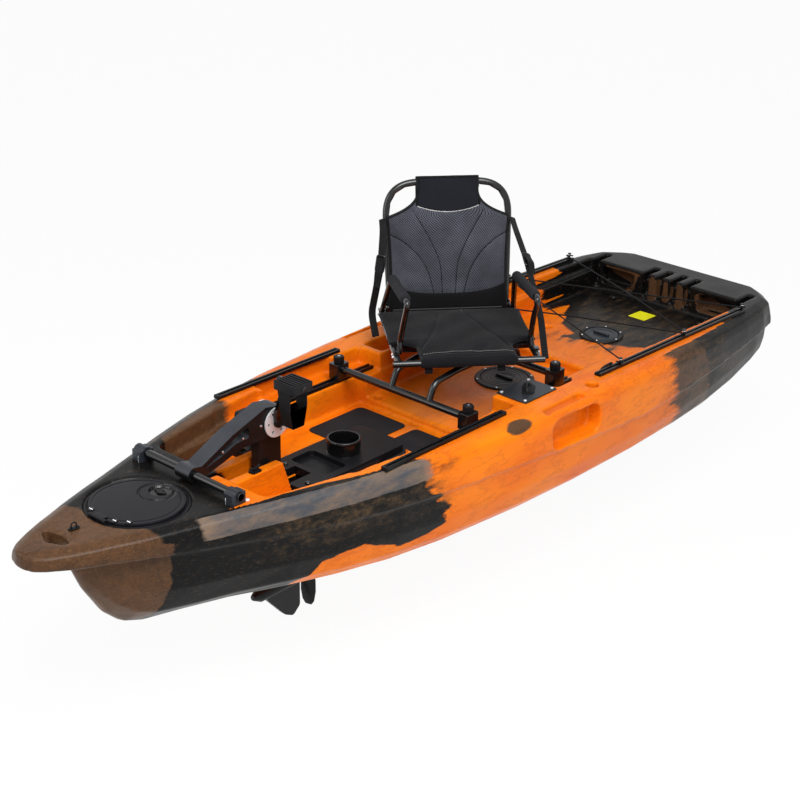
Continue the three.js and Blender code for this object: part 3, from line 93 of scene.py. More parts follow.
def gridPiece(name, grid, closeAlong=False, closeAcross=False, caps=False, span=None):
    # grid[row, column] is a surface of two parameters; quads join neighbours, and turn outward
    # where the surface encloses a space. Span gives its size along and across for the UV map
    rows, columns = grid.shape[:2]
    steps = np.arange(rows - (not closeAlong)), np.arange(columns - (not closeAcross))
    row, column = (part.ravel() for part in np.meshgrid(*steps, indexing="ij"))
    rowAt = np.stack([row, row, row + 1, row + 1], 1)
    columnAt = np.stack([column, column + 1, column + 1, column], 1)
    index = (rowAt % rows) * columns + columnAt % columns
    if span is None:
        span = (np.linalg.norm(np.diff(grid[:, 0], axis=0), axis=1).sum() + 1e-6,
                np.linalg.norm(np.diff(grid[0], axis=0), axis=1).sum() + 1e-6)
    uv = np.stack([columnAt / max(columns - 1, 1) * span[1], rowAt / max(rows - 1, 1) * span[0]], -1) * mm
    points = grid.reshape(-1, 3)
    corner = points[index]
    centre = corner.mean(1) - points.mean(0)
    face = np.cross(corner[:, 2] - corner[:, 0], corner[:, 3] - corner[:, 1])
    volume = np.einsum("ij,ij->", face, centre)
    if volume < 0:
        index, uv = index[:, ::-1], uv[:, ::-1]
    faces = index.tolist()
    if caps:
        ends = [list(range(columns)), list(range((rows - 1) * columns, rows * columns))]
        ends[0 if volume > 0 else 1].reverse()
        faces += ends
    return newPiece(name, points, faces, uv.reshape(-1, 2))


def merged(piece, distance=0.02):
    # Points that lie together become one, and all faces turn outward
    mesh = bmesh.new()
    mesh.from_mesh(piece.data)
    bmesh.ops.remove_doubles(mesh, verts=mesh.verts, dist=distance * mm)
    bmesh.ops.dissolve_degenerate(mesh, edges=mesh.edges, dist=distance * mm)
    bmesh.ops.recalc_face_normals(mesh, faces=mesh.faces)
    mesh.to_mesh(piece.data)
    mesh.free()
    return piece


def unit(vectors):
    # Each vector divided by its length
    return vectors / np.maximum(np.linalg.norm(vectors, axis=-1, keepdims=True), 1e-9)


def route(points, bends=0.0, steps=7):
    # Straight legs joined by bends: each bend is a parabola that leaves the leg at its own reach
    points = np.asarray(points, float)
    bends = np.broadcast_to(bends, len(points) - 2)
    share = np.linspace(0, 1, steps + 1)[:, None]
    parts = [points[:1]]
    for before, here, after, reach in zip(points[:-2], points[1:-1], points[2:], bends):
        start = here + unit(before - here) * reach
        end = here + unit(after - here) * reach
        parts.append((1 - share) ** 2 * start + 2 * share * (1 - share) * here + share ** 2 * end)
    return np.vstack(parts + [points[-1:]])


def smoothRoute(points, count=60):
    # A curve through all points: on each stretch a cubic whose slopes are those of its neighbours
    points = np.asarray(points, float)
    slope = np.gradient(points, axis=0)
    place = np.linspace(0, len(points) - 1 - 1e-6, count)
    at = place.astype(int)
    t = (place - at)[:, None]
    return ((2 * t ** 3 - 3 * t ** 2 + 1) * points[at] + (t ** 3 - 2 * t ** 2 + t) * slope[at]
            + (3 * t ** 2 - 2 * t ** 3) * points[at + 1] + (t ** 3 - t ** 2) * slope[at + 1])


def sides(path, lean=None):
    # Two directions square to the path everywhere; the first keeps to the normal of its plane
    ahead = unit(np.gradient(path, axis=0))
    if lean is None:
        lean = np.linalg.svd(path - path.mean(0))[2][-1]
    first = unit(np.asarray(lean, float) - (ahead @ np.asarray(lean, float))[:, None] * ahead)
    return first, np.cross(ahead, first)


def tube(name, path, radius, around=22, endRound=1.5):
    # A round section carried along the path; the ends are drawn in a little
    path = np.asarray(path, float)
    first, second = sides(path)
    ahead = unit(np.gradient(path, axis=0))
    radii = np.full(len(path), float(radius)) if np.isscalar(radius) else np.asarray(radius, float)
    if endRound:
        path = np.vstack([path[0], path[0] + ahead[0] * endRound, path[1:-1],
                          path[-1] - ahead[-1] * endRound, path[-1]])
        first = np.vstack([first[0], first, first[-1]])
        second = np.vstack([second[0], second, second[-1]])
        radii = np.concatenate([[radii[0] - endRound], radii, [radii[-1] - endRound]])
    angle = np.linspace(0, 2 * np.pi, around, endpoint=False)
    grid = (path[:, None] + radii[:, None, None] * (np.cos(angle)[None, :, None] * first[:, None]
            + np.sin(angle)[None, :, None] * second[:, None]))
    length = np.linalg.norm(np.diff(path, axis=0), axis=1).sum()
    return gridPiece(name, grid, closeAcross=True, caps=True, span=(length, 2 * np.pi * radii.max()))


def ribbon(name, path, wide, thick, lean):
    # A flat rounded section carried along the path, its thickness lying along lean
    path = np.asarray(path, float)
    first, second = sides(path, lean)
    angle = np.linspace(0, 2 * np.pi, 20, endpoint=False)
    across = np.sign(np.sin(angle)) * np.abs(np.sin(angle)) ** 0.4 * wide / 2
    out = np.sign(np.cos(angle)) * np.abs(np.cos(angle)) ** 0.8 * thick / 2
    grid = path[:, None] + out[None, :, None] * first[:, None] + across[None, :, None] * second[:, None]
    length = np.linalg.norm(np.diff(path, axis=0), axis=1).sum()
    return gridPiece(name, grid, closeAcross=True, caps=True, span=(length, 2 * wide))


def turned(name, profile, centre, axis="z", around=72, ring=False):
    # A profile of (radius, height) turned about an upright or a crosswise axis
    profile = np.asarray(profile, float)
    angle = np.linspace(0, 2 * np.pi, around, endpoint=False)
    x = profile[:, :1] * np.cos(angle)
    y = profile[:, :1] * np.sin(angle)
    z = np.repeat(profile[:, 1:], around, 1)
    order = {"z": (x, y, z), "y": (x, z, y), "x": (z, x, y)}[axis]
    grid = np.stack(order, -1) + np.asarray(centre, float)
    piece = gridPiece(name, grid, closeAlong=ring, closeAcross=True)
    return piece if ring else merged(piece)


def roundedOutline(points, corner, steps=5):
    # Corners of a closed outline replaced by parabolas
    points = np.asarray(points, float)
    before, after = np.roll(points, 1, 0), np.roll(points, -1, 0)
    reach = np.minimum(corner, np.minimum(np.linalg.norm(before - points, axis=1),
                                          np.linalg.norm(after - points, axis=1)) / 2.1)[:, None]
    start, end = points + unit(before - points) * reach, points + unit(after - points) * reach
    t = np.linspace(0, 1, steps + 1)[None, :, None]
    bend = (1 - t) ** 2 * start[:, None] + 2 * t * (1 - t) * points[:, None] + t ** 2 * end[:, None]
    return bend.reshape(-1, 2)


def slab(name, outline, low, high, edge=1.2, segments=2, plane="xy"):
    # An outline raised from low to high, with its edges rounded by a bevel
    outline = np.asarray(outline, float)
    count = len(outline)
    area = (outline[:, 0] * np.roll(outline[:, 1], -1) - outline[:, 1] * np.roll(outline[:, 0], -1)).sum()
    if area < 0:
        outline = outline[::-1]
    flat = np.vstack([np.column_stack([outline, np.full(count, level)]) for level in (low, high)])
    if plane == "xz":
        flat = flat[:, [0, 2, 1]]
    around = np.arange(count)
    walls = np.stack([around, (around + 1) % count, (around + 1) % count + count, around + count], 1)
    faces = [around[::-1].tolist(), (around + count).tolist()] + walls.tolist()
    piece = newPiece(name, flat, faces)
    if plane == "xz":
        piece.data.flip_normals()
    return withBevel(piece, edge, segments)


def about(centre, half):
    # Limits at the same distance on both sides of a centre
    return centre - half, centre + half


def box(x, y):
    # Corners of a rectangle between its limits
    return [(x[0], y[0]), (x[1], y[0]), (x[1], y[1]), (x[0], y[1])]


def block(name, x, y, low, high, corner, edge=1.2, segments=2, steps=5, plane="xy"):
    # A rectangle with rounded corners, raised from low to high
    return slab(name, roundedOutline(box(x, y), corner, steps), low, high, edge, segments, plane)


def hump(distance, wide):
    # 1 in the middle, falling off on both sides as exp(-(distance / wide)^2)
    return np.exp(-(distance / wide) ** 2)


def withBevel(piece, width, segments=2, angle=32):
    # Edges where faces turn by more than the angle become rounded
    bevel = piece.modifiers.new("edge", "BEVEL")
    bevel.width, bevel.segments = width * mm, segments
    bevel.limit_method, bevel.angle_limit = "ANGLE", math.radians(angle)
    return piece


def arraysOf(mesh):
    # Its points in metres, and the point of each corner of each face
    points = np.empty(len(mesh.vertices) * 3)
    mesh.vertices.foreach_get("co", points)
    corners = np.empty(len(mesh.loops), int)
    mesh.loops.foreach_get("vertex_index", corners)
    return points.reshape(-1, 3), corners


def faceVectors(piece, field):
    # One vector for each face: its center in metres or its normal
    vectors = np.empty(len(piece.data.polygons) * 3)
    piece.data.polygons.foreach_get(field, vectors)
    return vectors.reshape(-1, 3)


def placed(piece, place):
    # Its points, in millimetres, sent through a placing function
    points, _ = arraysOf(piece.data)
    piece.data.vertices.foreach_set("co", (place(points / mm) * mm).ravel())
    return piece


def withField(piece, name, values):
    # A value for each point, which the material reads as an attribute
    attribute = piece.data.attributes.new(name, "FLOAT", "POINT")
    attribute.data.foreach_set("value", np.asarray(values, np.float32).ravel())


def softened(node, width, segments=2, angle=32):
    # A merged copy of a CAD node with rounded edges
    points, corners = arraysOf(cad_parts[node].data)
    mesh = bpy.data.meshes.new(node + "_soft")
    mesh.from_pydata(points.tolist(), [], corners.reshape(-1, 3).tolist())
    work = bmesh.new()
    work.from_mesh(mesh)
    bmesh.ops.remove_doubles(work, verts=work.verts, dist=1e-5)
    bmesh.ops.dissolve_limit(work, angle_limit=math.radians(1), verts=work.verts, edges=work.edges)
    work.to_mesh(mesh)
    work.free()
    return withBevel(linked(node + "_soft", mesh), width, segments, angle)


def baked(piece):
    # The mesh that the modifiers make takes the place of the plain one
    made = bpy.data.meshes.new_from_object(piece.evaluated_get(bpy.context.evaluated_depsgraph_get()))
    piece.modifiers.clear()
    old, piece.data = piece.data, made
    bpy.data.meshes.remove(old)
    return piece


def joined(name, parts):
    # Several pieces made one, after their modifiers
    points, faces, start = [], [], 0
    for part in parts:
        baked(part)
        own, _ = arraysOf(part.data)
        faces += [[corner + start for corner in face.vertices] for face in part.data.polygons]
        points.append(own)
        start += len(own)
        bpy.data.objects.remove(part)
    return newPiece(name, np.vstack(points) / mm, faces)


def dress(piece, finish, body, nodes=(), angle=38):
    # Its finish and smooth shading, the body it rides on, and the nodes it replaces
    piece.data.materials.clear()
    piece.data.materials.append(finish)
    piece.data.shade_smooth()
    piece.data.set_sharp_from_angle(angle=math.radians(angle))
    if body:
        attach(piece, body)
    nodes = [nodes] if isinstance(nodes, str) else nodes
    if nodes:
        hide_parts(*nodes)
    return piece


def dressed(node, finish, body, width, segments=2, angle=38):
    # A CAD node with softened edges, dressed in its own place
    return dress(softened(node, width, segments), finish, body, node, angle)


def secondFinish(piece, finish, chosen):
    # Another finish on the chosen faces
    piece.data.materials.append(finish)
    piece.data.polygons.foreach_set("material_index", chosen.astype(np.int32))


# Shared effects and finishes
def tone(red, green, blue):
    # A colour as seen on screen, as the shader needs it
    seen = np.array([red, green, blue]) / 255
    linear = np.where(seen <= 0.04045, seen / 12.92, ((seen + 0.055) / 1.055) ** 2.4)
    return (*linear.tolist(), 1.0)


def paler(base, share, more):
    # The colour times a share, plus an amount on every channel
    return tone(*[min(255, part * share + more) for part in base])


class Wires:
    # Adds nodes to a tree and joins their sockets
    def __init__(self, tree):
        self.tree = tree

    def node(self, kind, settings=(), **sockets):
        # Sockets are named by their number, as i0, or by their label with _ for a space
        made = self.tree.nodes.new(kind)
        for key, setting in dict(settings).items():
            setattr(made, key, setting)
        for key, given in sockets.items():
            numbered = key[0] == "i" and key[1:].isdigit()
            socket = made.inputs[int(key[1:]) if numbered else key.replace("_", " ")]
            if isinstance(given, bpy.types.NodeSocket):
                self.tree.links.new(given, socket)
            else:
                socket.default_value = given
        return made

    def math(self, operation, first, second=0.0, clamp=False):
        settings = {"operation": operation, "use_clamp": clamp}
        return self.node("ShaderNodeMath", settings, i0=first, i1=second).outputs[0]

    def plus(self, first, second):
        return self.math("ADD", first, second)

    def times(self, first, second):
        return self.math("MULTIPLY", first, second)

    def place(self, kind="Object"):
        return self.tree.nodes.new("ShaderNodeTexCoord").outputs[kind]

    def field(self, name):
        return self.node("ShaderNodeAttribute", {"attribute_name": name}).outputs["Fac"]

    def noise(self, vector, scale, detail=4.0, rough=0.55, stretch=(1, 1, 1)):
        if stretch != (1, 1, 1):
            vector = self.node("ShaderNodeMapping", i0=vector, Scale=stretch).outputs[0]
        made = self.node("ShaderNodeTexNoise", Vector=vector, Scale=scale, Detail=detail, Roughness=rough)
        return made.outputs[0]

    def range(self, given, low, high, toLow=0.0, toHigh=1.0):
        return self.node("ShaderNodeMapRange", i0=given, i1=low, i2=high, i3=toLow, i4=toHigh).outputs[0]

    def mix(self, share, first, second):
        return self.node("ShaderNodeMix", {"data_type": "RGBA"}, i0=share, i6=first, i7=second).outputs[2]

    def out(self, node, socket):
        self.tree.links.new(node, socket)

    def relief(self, shader, strength, distance, height):
        bump = self.node("ShaderNodeBump", Strength=strength, Distance=distance, Height=height)
        self.out(bump.outputs[0], shader.inputs["Normal"])


def newMaterial(name, **plain):
    # A Principled material; plain gives the sockets that are the same all over, with _ for a space
    material = bpy.data.materials.new(name)
    material.use_nodes = True
    shader = material.node_tree.nodes["Principled BSDF"]
    for key, given in plain.items():
        shader.inputs[key.replace("_", " ")].default_value = given
    return material, shader, Wires(material.node_tree)


def effect(name, inputs, outputs):
    # A node group of named numbers, with its wires, what it is given and what it makes
    group = bpy.data.node_groups.new(name, "ShaderNodeTree")
    for label, start in inputs.items():
        group.interface.new_socket(label, in_out="INPUT", socket_type="NodeSocketFloat").default_value = start
    for label in outputs:
        group.interface.new_socket(label, in_out="OUTPUT", socket_type="NodeSocketFloat")
    given, made = group.nodes.new("NodeGroupInput").outputs, group.nodes.new("NodeGroupOutput").inputs
    return group, Wires(group), given, made


# Grain of moulded or coated surfaces: fine relief, and broad patches of wear and handling
grainInputs = {"Scale": 900.0, "Wear": 0.5}
grain, wires, given, made = effect("mouldedGrain", grainInputs, ("Relief", "Patches", "Scuffs"))
place = wires.place()
wires.out(wires.noise(place, given["Scale"], 2.0), made["Relief"])
wires.out(wires.noise(place, 9.0, 5.0), made["Patches"])
scratch = wires.noise(place, 38.0, 8.0, 0.72, (1.0, 5.0, 5.0))
wires.out(wires.math("MULTIPLY", wires.range(scratch, 0.56, 0.74), given["Wear"], True), made["Scuffs"])

# Plain weave from the UV map: two sets of yarns that pass over and under each other
weave, wires, given, made = effect("yarnWeave", {"Yarns": 900.0, "Slant": 0.0}, ("Relief", "Gaps"))
split = wires.node("ShaderNodeSeparateXYZ", i0=wires.place("UV")).outputs
leaning = wires.plus(split[0], wires.times(split[1], given["Slant"]))
crossing = wires.math("SUBTRACT", split[1], wires.times(split[0], given["Slant"]))
yarns = [wires.math("ABSOLUTE", wires.math("SINE", wires.times(wires.times(way, given["Yarns"]), math.pi)))
         for way in (leaning, crossing)]
wires.out(wires.times(wires.plus(*yarns), 0.5), made["Relief"])
wires.out(wires.range(wires.times(*yarns), 0.12, 0.42), made["Gaps"])


def finish(name, base, rough, metal=0.0, relief=0.15, scale=900.0, wear=0.4, worn=(70, 70, 74), coat=0.0,
           gloss=0.16):
    # Moulded plastic, coated metal, foam or rubber: grain, patches of gloss, and pale scuffs
    material, shader, w = newMaterial(name, Metallic=metal, Coat_Weight=coat, Coat_Roughness=0.12,
                                      Specular_IOR_Level=gloss)
    use = w.node("ShaderNodeGroup", {"node_tree": grain}, Scale=scale, Wear=wear).outputs
    tinted = w.mix(w.range(use["Patches"], 0.3, 0.7), tone(*base), paler(base, 1.18, 5))
    w.out(w.mix(use["Scuffs"], tinted, tone(*worn)), shader.inputs["Base Color"])
    w.out(w.range(use["Patches"], 0.25, 0.75, rough - 0.06, rough + 0.06), shader.inputs["Roughness"])
    w.relief(shader, relief, 0.0006, use["Relief"])
    return material


blackPlastic = finish("blackPlastic", (14, 14, 16), 0.4, wear=0.25, worn=(52, 52, 56))
lidPlastic = finish("lidPlastic", (15, 14, 18), 0.34, wear=0.18, relief=0.08, gloss=0.16)
glossBlack = finish("glossBlack", (7, 7, 8), 0.2, wear=0.12, relief=0.04, gloss=0.45)
blackTube = finish("blackTube", (9, 9, 10), 0.2, relief=0.04, wear=0.3, worn=(60, 60, 64), coat=0.25,
                   gloss=0.4)
trackMetal = finish("trackMetal", (10, 10, 12), 0.3, metal=0.3, relief=0.06, wear=0.35, worn=(84, 84, 88),
                    gloss=0.3)
foamPad = finish("foamPad", (26, 25, 27), 0.9, relief=0.5, scale=420.0, wear=0.2, worn=(48, 47, 48))
sleeveFoam = finish("sleeveFoam", (25, 25, 28), 0.8, relief=0.55, scale=520.0, wear=0.15, worn=(50, 50, 52))
# Painted light: the paler grey given to the drive arm's upward faces
armLitGrey = finish("armLitGrey", (44, 46, 51), 0.42, relief=0.1, wear=0.3, worn=(82, 84, 90), gloss=0.22)
clampGrey = finish("clampGrey", (33, 37, 42), 0.36, metal=0.25, relief=0.1, wear=0.4, worn=(96, 100, 106),
                   gloss=0.3)
strapRubber = finish("strapRubber", (14, 14, 15), 0.55, relief=0.3, wear=0.2, worn=(50, 50, 52))
steel = finish("steel", (176, 178, 182), 0.28, metal=1.0, relief=0.05, wear=0.3, worn=(120, 121, 124))
shine = finish("shine", (232, 233, 236), 0.22, metal=0.6, relief=0.03, wear=0.2, worn=(150, 151, 154))
legPlastic = finish("legPlastic", (11, 12, 13), 0.34, relief=0.1, wear=0.35, worn=(56, 58, 62), gloss=0.24)
patchYellow = finish("patchYellow", (214, 208, 22), 0.4, relief=0.05, wear=0.3, worn=(160, 156, 30))


def fabricFinish(name, base, gap, yarns, rough=0.85, slant=0.0, relief=0.5):
    # Woven cloth: yarn relief, darker gaps, broad fading
    material, shader, w = newMaterial(name, Sheen_Weight=0.06, Sheen_Roughness=0.45, Specular_IOR_Level=0.12)
    use = w.node("ShaderNodeGroup", {"node_tree": weave}, Yarns=yarns, Slant=slant).outputs
    wear = w.node("ShaderNodeGroup", {"node_tree": grain}, Scale=700.0, Wear=0.3).outputs
    faded = w.mix(w.range(wear["Patches"], 0.3, 0.75), tone(*base), paler(base, 1.3, 6))
    w.out(w.mix(use["Gaps"], tone(*gap), faded), shader.inputs["Base Color"])
    w.out(w.range(wear["Relief"], 0.3, 0.7, rough - 0.06, rough + 0.06), shader.inputs["Roughness"])
    w.relief(shader, relief, 0.0012, use["Relief"])
    return material


seatCloth = fabricFinish("seatCloth", (14, 14, 17), (6, 6, 7), 620.0)
headerCloth = fabricFinish("headerCloth", (29, 30, 36), (15, 15, 18), 700.0)
webbing = fabricFinish("webbing", (18, 18, 20), (6, 6, 7), 480.0, rough=0.75)
elastic = fabricFinish("elastic", (15, 15, 17), (6, 6, 7), 800.0, slant=0.9, rough=0.7)
thread = fabricFinish("thread", (196, 194, 190), (120, 118, 114), 1500.0, rough=0.6)


def turnedMetal(name, base, rough, axle):
    # Bright aluminium with the rings that turning leaves about the crank axis
    material, shader, w = newMaterial(name, Metallic=0.25)
    centred = w.node("ShaderNodeMapping", i0=w.place(), Location=(-axle[0] * mm, 0, -axle[1] * mm)).outputs[0]
    flat = w.node("ShaderNodeMapping", i0=centred, Scale=(1, 0, 1)).outputs[0]
    reach = w.node("ShaderNodeVectorMath", {"operation": "LENGTH"}, i0=flat).outputs[1]
    rings = w.math("SINE", w.times(reach, 5200.0))
    use = w.node("ShaderNodeGroup", {"node_tree": grain}, Scale=800.0, Wear=0.5).outputs
    w.out(w.mix(use["Scuffs"], tone(*base), tone(150, 151, 155)), shader.inputs["Base Color"])
    w.out(w.range(use["Patches"], 0.3, 0.7, rough - 0.06, rough + 0.1), shader.inputs["Roughness"])
    w.relief(shader, 0.12, 0.0003, rings)
    return material


print("finishes made")

# Hull
hull = {
    "voxel": 5.5, "smoothing": 5, "faces": 185000,
    "holes": [(1196, 116), (-440, 76), (-1012, 60)], "onWall": 0.8, "wallRise": 1.0, "bucket": 190,
    "halfLength": 1600, "halfBeam": 484,
    "along": [1, .9925, .975, .941, .909, .875, .8375, .806, .772, .719, .636, .544, .4375, .331, .204, 0,
              -.181, -.25, -.3875, -.5625, -.6875, -.8125, -.9, -.95, -.984, -1],
    "deck": [.025, .1, .149, .207, .252, .293, .341, .376, .413, .465, .554, .653, .756, .835, .905, .967,
             .996, .998, .998, .979, .955, .917, .88, .837, .713, .62],
}


def islandOf(faces, count, start):
    # Corner labels spread over faces until every connected part has one label
    label = np.arange(count)
    while True:
        low = label[faces].min(1)
        new = label.copy()
        np.minimum.at(new, faces.ravel(), np.repeat(low, faces.shape[1]))
        new = new[new]
        if (new == label).all():
            return label == label[start]
        label = new


def hullSkin(values):
    # The outer skin of the CAD hull, its hatch holes closed, rounded the way moulding leaves it
    points, corners = arraysOf(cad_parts["hull_shell"].data)
    rounded = np.round(points * 1e5).astype(int)
    _, first, index = np.unique(rounded, axis=0, return_index=True, return_inverse=True)
    points, faces = points[first], index.reshape(-1)[corners].reshape(-1, 3)
    faces = faces[(faces[:, 0] != faces[:, 1]) & (faces[:, 1] != faces[:, 2]) & (faces[:, 0] != faces[:, 2])]
    keep = np.ones(len(faces), bool)
    for x, radius in values["holes"]:
        reach = np.hypot(points[:, 0] / mm - x, points[:, 1] / mm)
        onWall = np.abs(reach - radius) < values["onWall"]
        tall = np.ptp(points[faces][:, :, 2], axis=1) > values["wallRise"] * mm
        keep &= ~(onWall[faces].all(1) & tall)
    faces = faces[keep]
    outside = islandOf(faces, len(points), int(points[:, 0].argmax()))
    faces = faces[outside[faces[:, 0]]]
    mesh = bpy.data.meshes.new("hullSkin")
    mesh.from_pydata(points.tolist(), [], faces.tolist())
    work = bmesh.new()
    work.from_mesh(mesh)
    bmesh.ops.delete(work, geom=[vertex for vertex in work.verts if not vertex.link_faces], context="VERTS")
    rim = [edge for edge in work.edges if edge.is_boundary and edge.verts[0].co.x > 1.0]
    deep = bmesh.ops.extrude_edge_only(work, edges=rim)["geom"]
    foot = [part for part in deep if isinstance(part, bmesh.types.BMVert)]
    bmesh.ops.translate(work, vec=(0, 0, -values["bucket"] * mm), verts=foot)
    bmesh.ops.holes_fill(work, edges=[edge for edge in work.edges if edge.is_boundary], sides=0)
    bmesh.ops.recalc_face_normals(work, faces=work.faces)
    work.to_mesh(mesh)
    work.free()
    piece = linked("hullSkin", mesh)
    remesh = piece.modifiers.new("even", "REMESH")
    remesh.mode, remesh.voxel_size = "VOXEL", values["voxel"] * mm
    soft = piece.modifiers.new("round", "SMOOTH")
    soft.factor, soft.iterations = 0.5, values["smoothing"]
    baked(piece)
    count = sum(len(face.vertices) - 2 for face in piece.data.polygons)
    if count > values["faces"]:
        fewer = piece.modifiers.new("fewer", "DECIMATE")
        fewer.ratio = values["faces"] / count
        baked(piece)
    return piece


def deckHalf(x, values=hull):
    # Half width of the deck at a place along the boat
    along, deck = np.array(values["along"][::-1]), np.array(values["deck"][::-1])
    return np.interp(x, along * values["halfLength"], deck * values["halfBeam"])


def blobs(points, places):
    # How far inside the nearest of several ellipsoids each point lies: 1 in its middle, 0 on its skin
    best = np.full(len(points), -9.0)
    for place in places:
        reach = np.sqrt((((points - np.array(place[:3])) / np.array(place[3:])) ** 2).sum(1))
        best = np.maximum(best, 1 - reach)
    return best


# Places of the colours in millimetres. A soft value is the width over which a colour gives way; blobs are
# a centre and three radii; edges are two rows, the place where to look and the place of the edge there
marks = {
    "shoulderIn": 40, "sideTop": 195, "deckLow": 322,
    "tip": {"deckAt": 325, "deck": 1302, "slant": 0.25, "side": 1216, "flare": 0.12, "middle": 190,
            "soft": 40},
    "bowSpot": [(1188, 216, 334, 78, 26, 18)],
    "bowDeckEdge": ([0, 35, 98, 151, 203, 237, 254], [958, 966, 977, 993, 1004, 998, 968]),
    "finger": {"root": 968, "in": 62, "slope": 4, "end": 1046},
    "starboardDeck": 905, "wallFront": (978, 888),
    "line": {"front": 990, "rear": 628, "low": 335, "in": 31, "half": ([628, 740, 870, 985], [6, 14, 13, 5])},
    "aftEdge": ([90, 110, 123, 150, 182, 215, 234, 255, 276, 300, 360],
                [445, 400, 352, 372, 338, 392, 380, 430, 446, 452, 440]),
    "lowEdge": ([330, 422, 525, 600, 654, 710, 785, 814, 851, 900],
                [112, 101, 97, 128, 146, 144, 124, 85, 66, -60]),
    # Painted reflection: a grey band along the port shoulder stands for the lamp's reflection there
    "shoulderReflection": {"rear": 425, "front": 1150, "in": 33, "low": 302},
    "oliveSide": {"rear": 380, "front": 930, "low": 205},
    "farSide": {"rear": 560, "front": 1010, "y": -225, "low": 235},
    "stern": {"side": -985, "slope": 0.55, "at": 282, "deck": (-1285, -1205), "deckLow": 330,
              "wall": (-1290, -1225), "end": -1398},
    "floorEdge": ([-340, -300, -179, -77, 40, 109, 140, 190, 340],
                  [-1290, -1240, -1000, -905, -925, -1060, -1000, -1020, -1120]),
    "floorTop": 236,
    "brownTransom": [(-1440, -200, 300, 60, 95, 62), (-1440, -62, 280, 60, 26, 60),
                     (-1440, 0, 285, 60, 24, 50), (-1440, 62, 280, 60, 26, 60),
                     (-1440, 190, 285, 60, 100, 42), (-1440, 300, 270, 50, 30, 40)],
    "transomBox": (-1520, -1395, 334),
    "scuffs": [(46, 448, 352, 52, 30, 20), (-1205, 402, 347, 34, 16, 18), (860, -256, 345, 14, 12, 20)],
    "brownFloor": [(-760, -30, 225, 150, 40, 30), (-880, 70, 225, 90, 50, 30), (-700, 120, 262, 60, 60, 20)],
    "band": {"x": -900, "slope": 0.4, "at": 240, "aft": 230, "fore": 120},
}


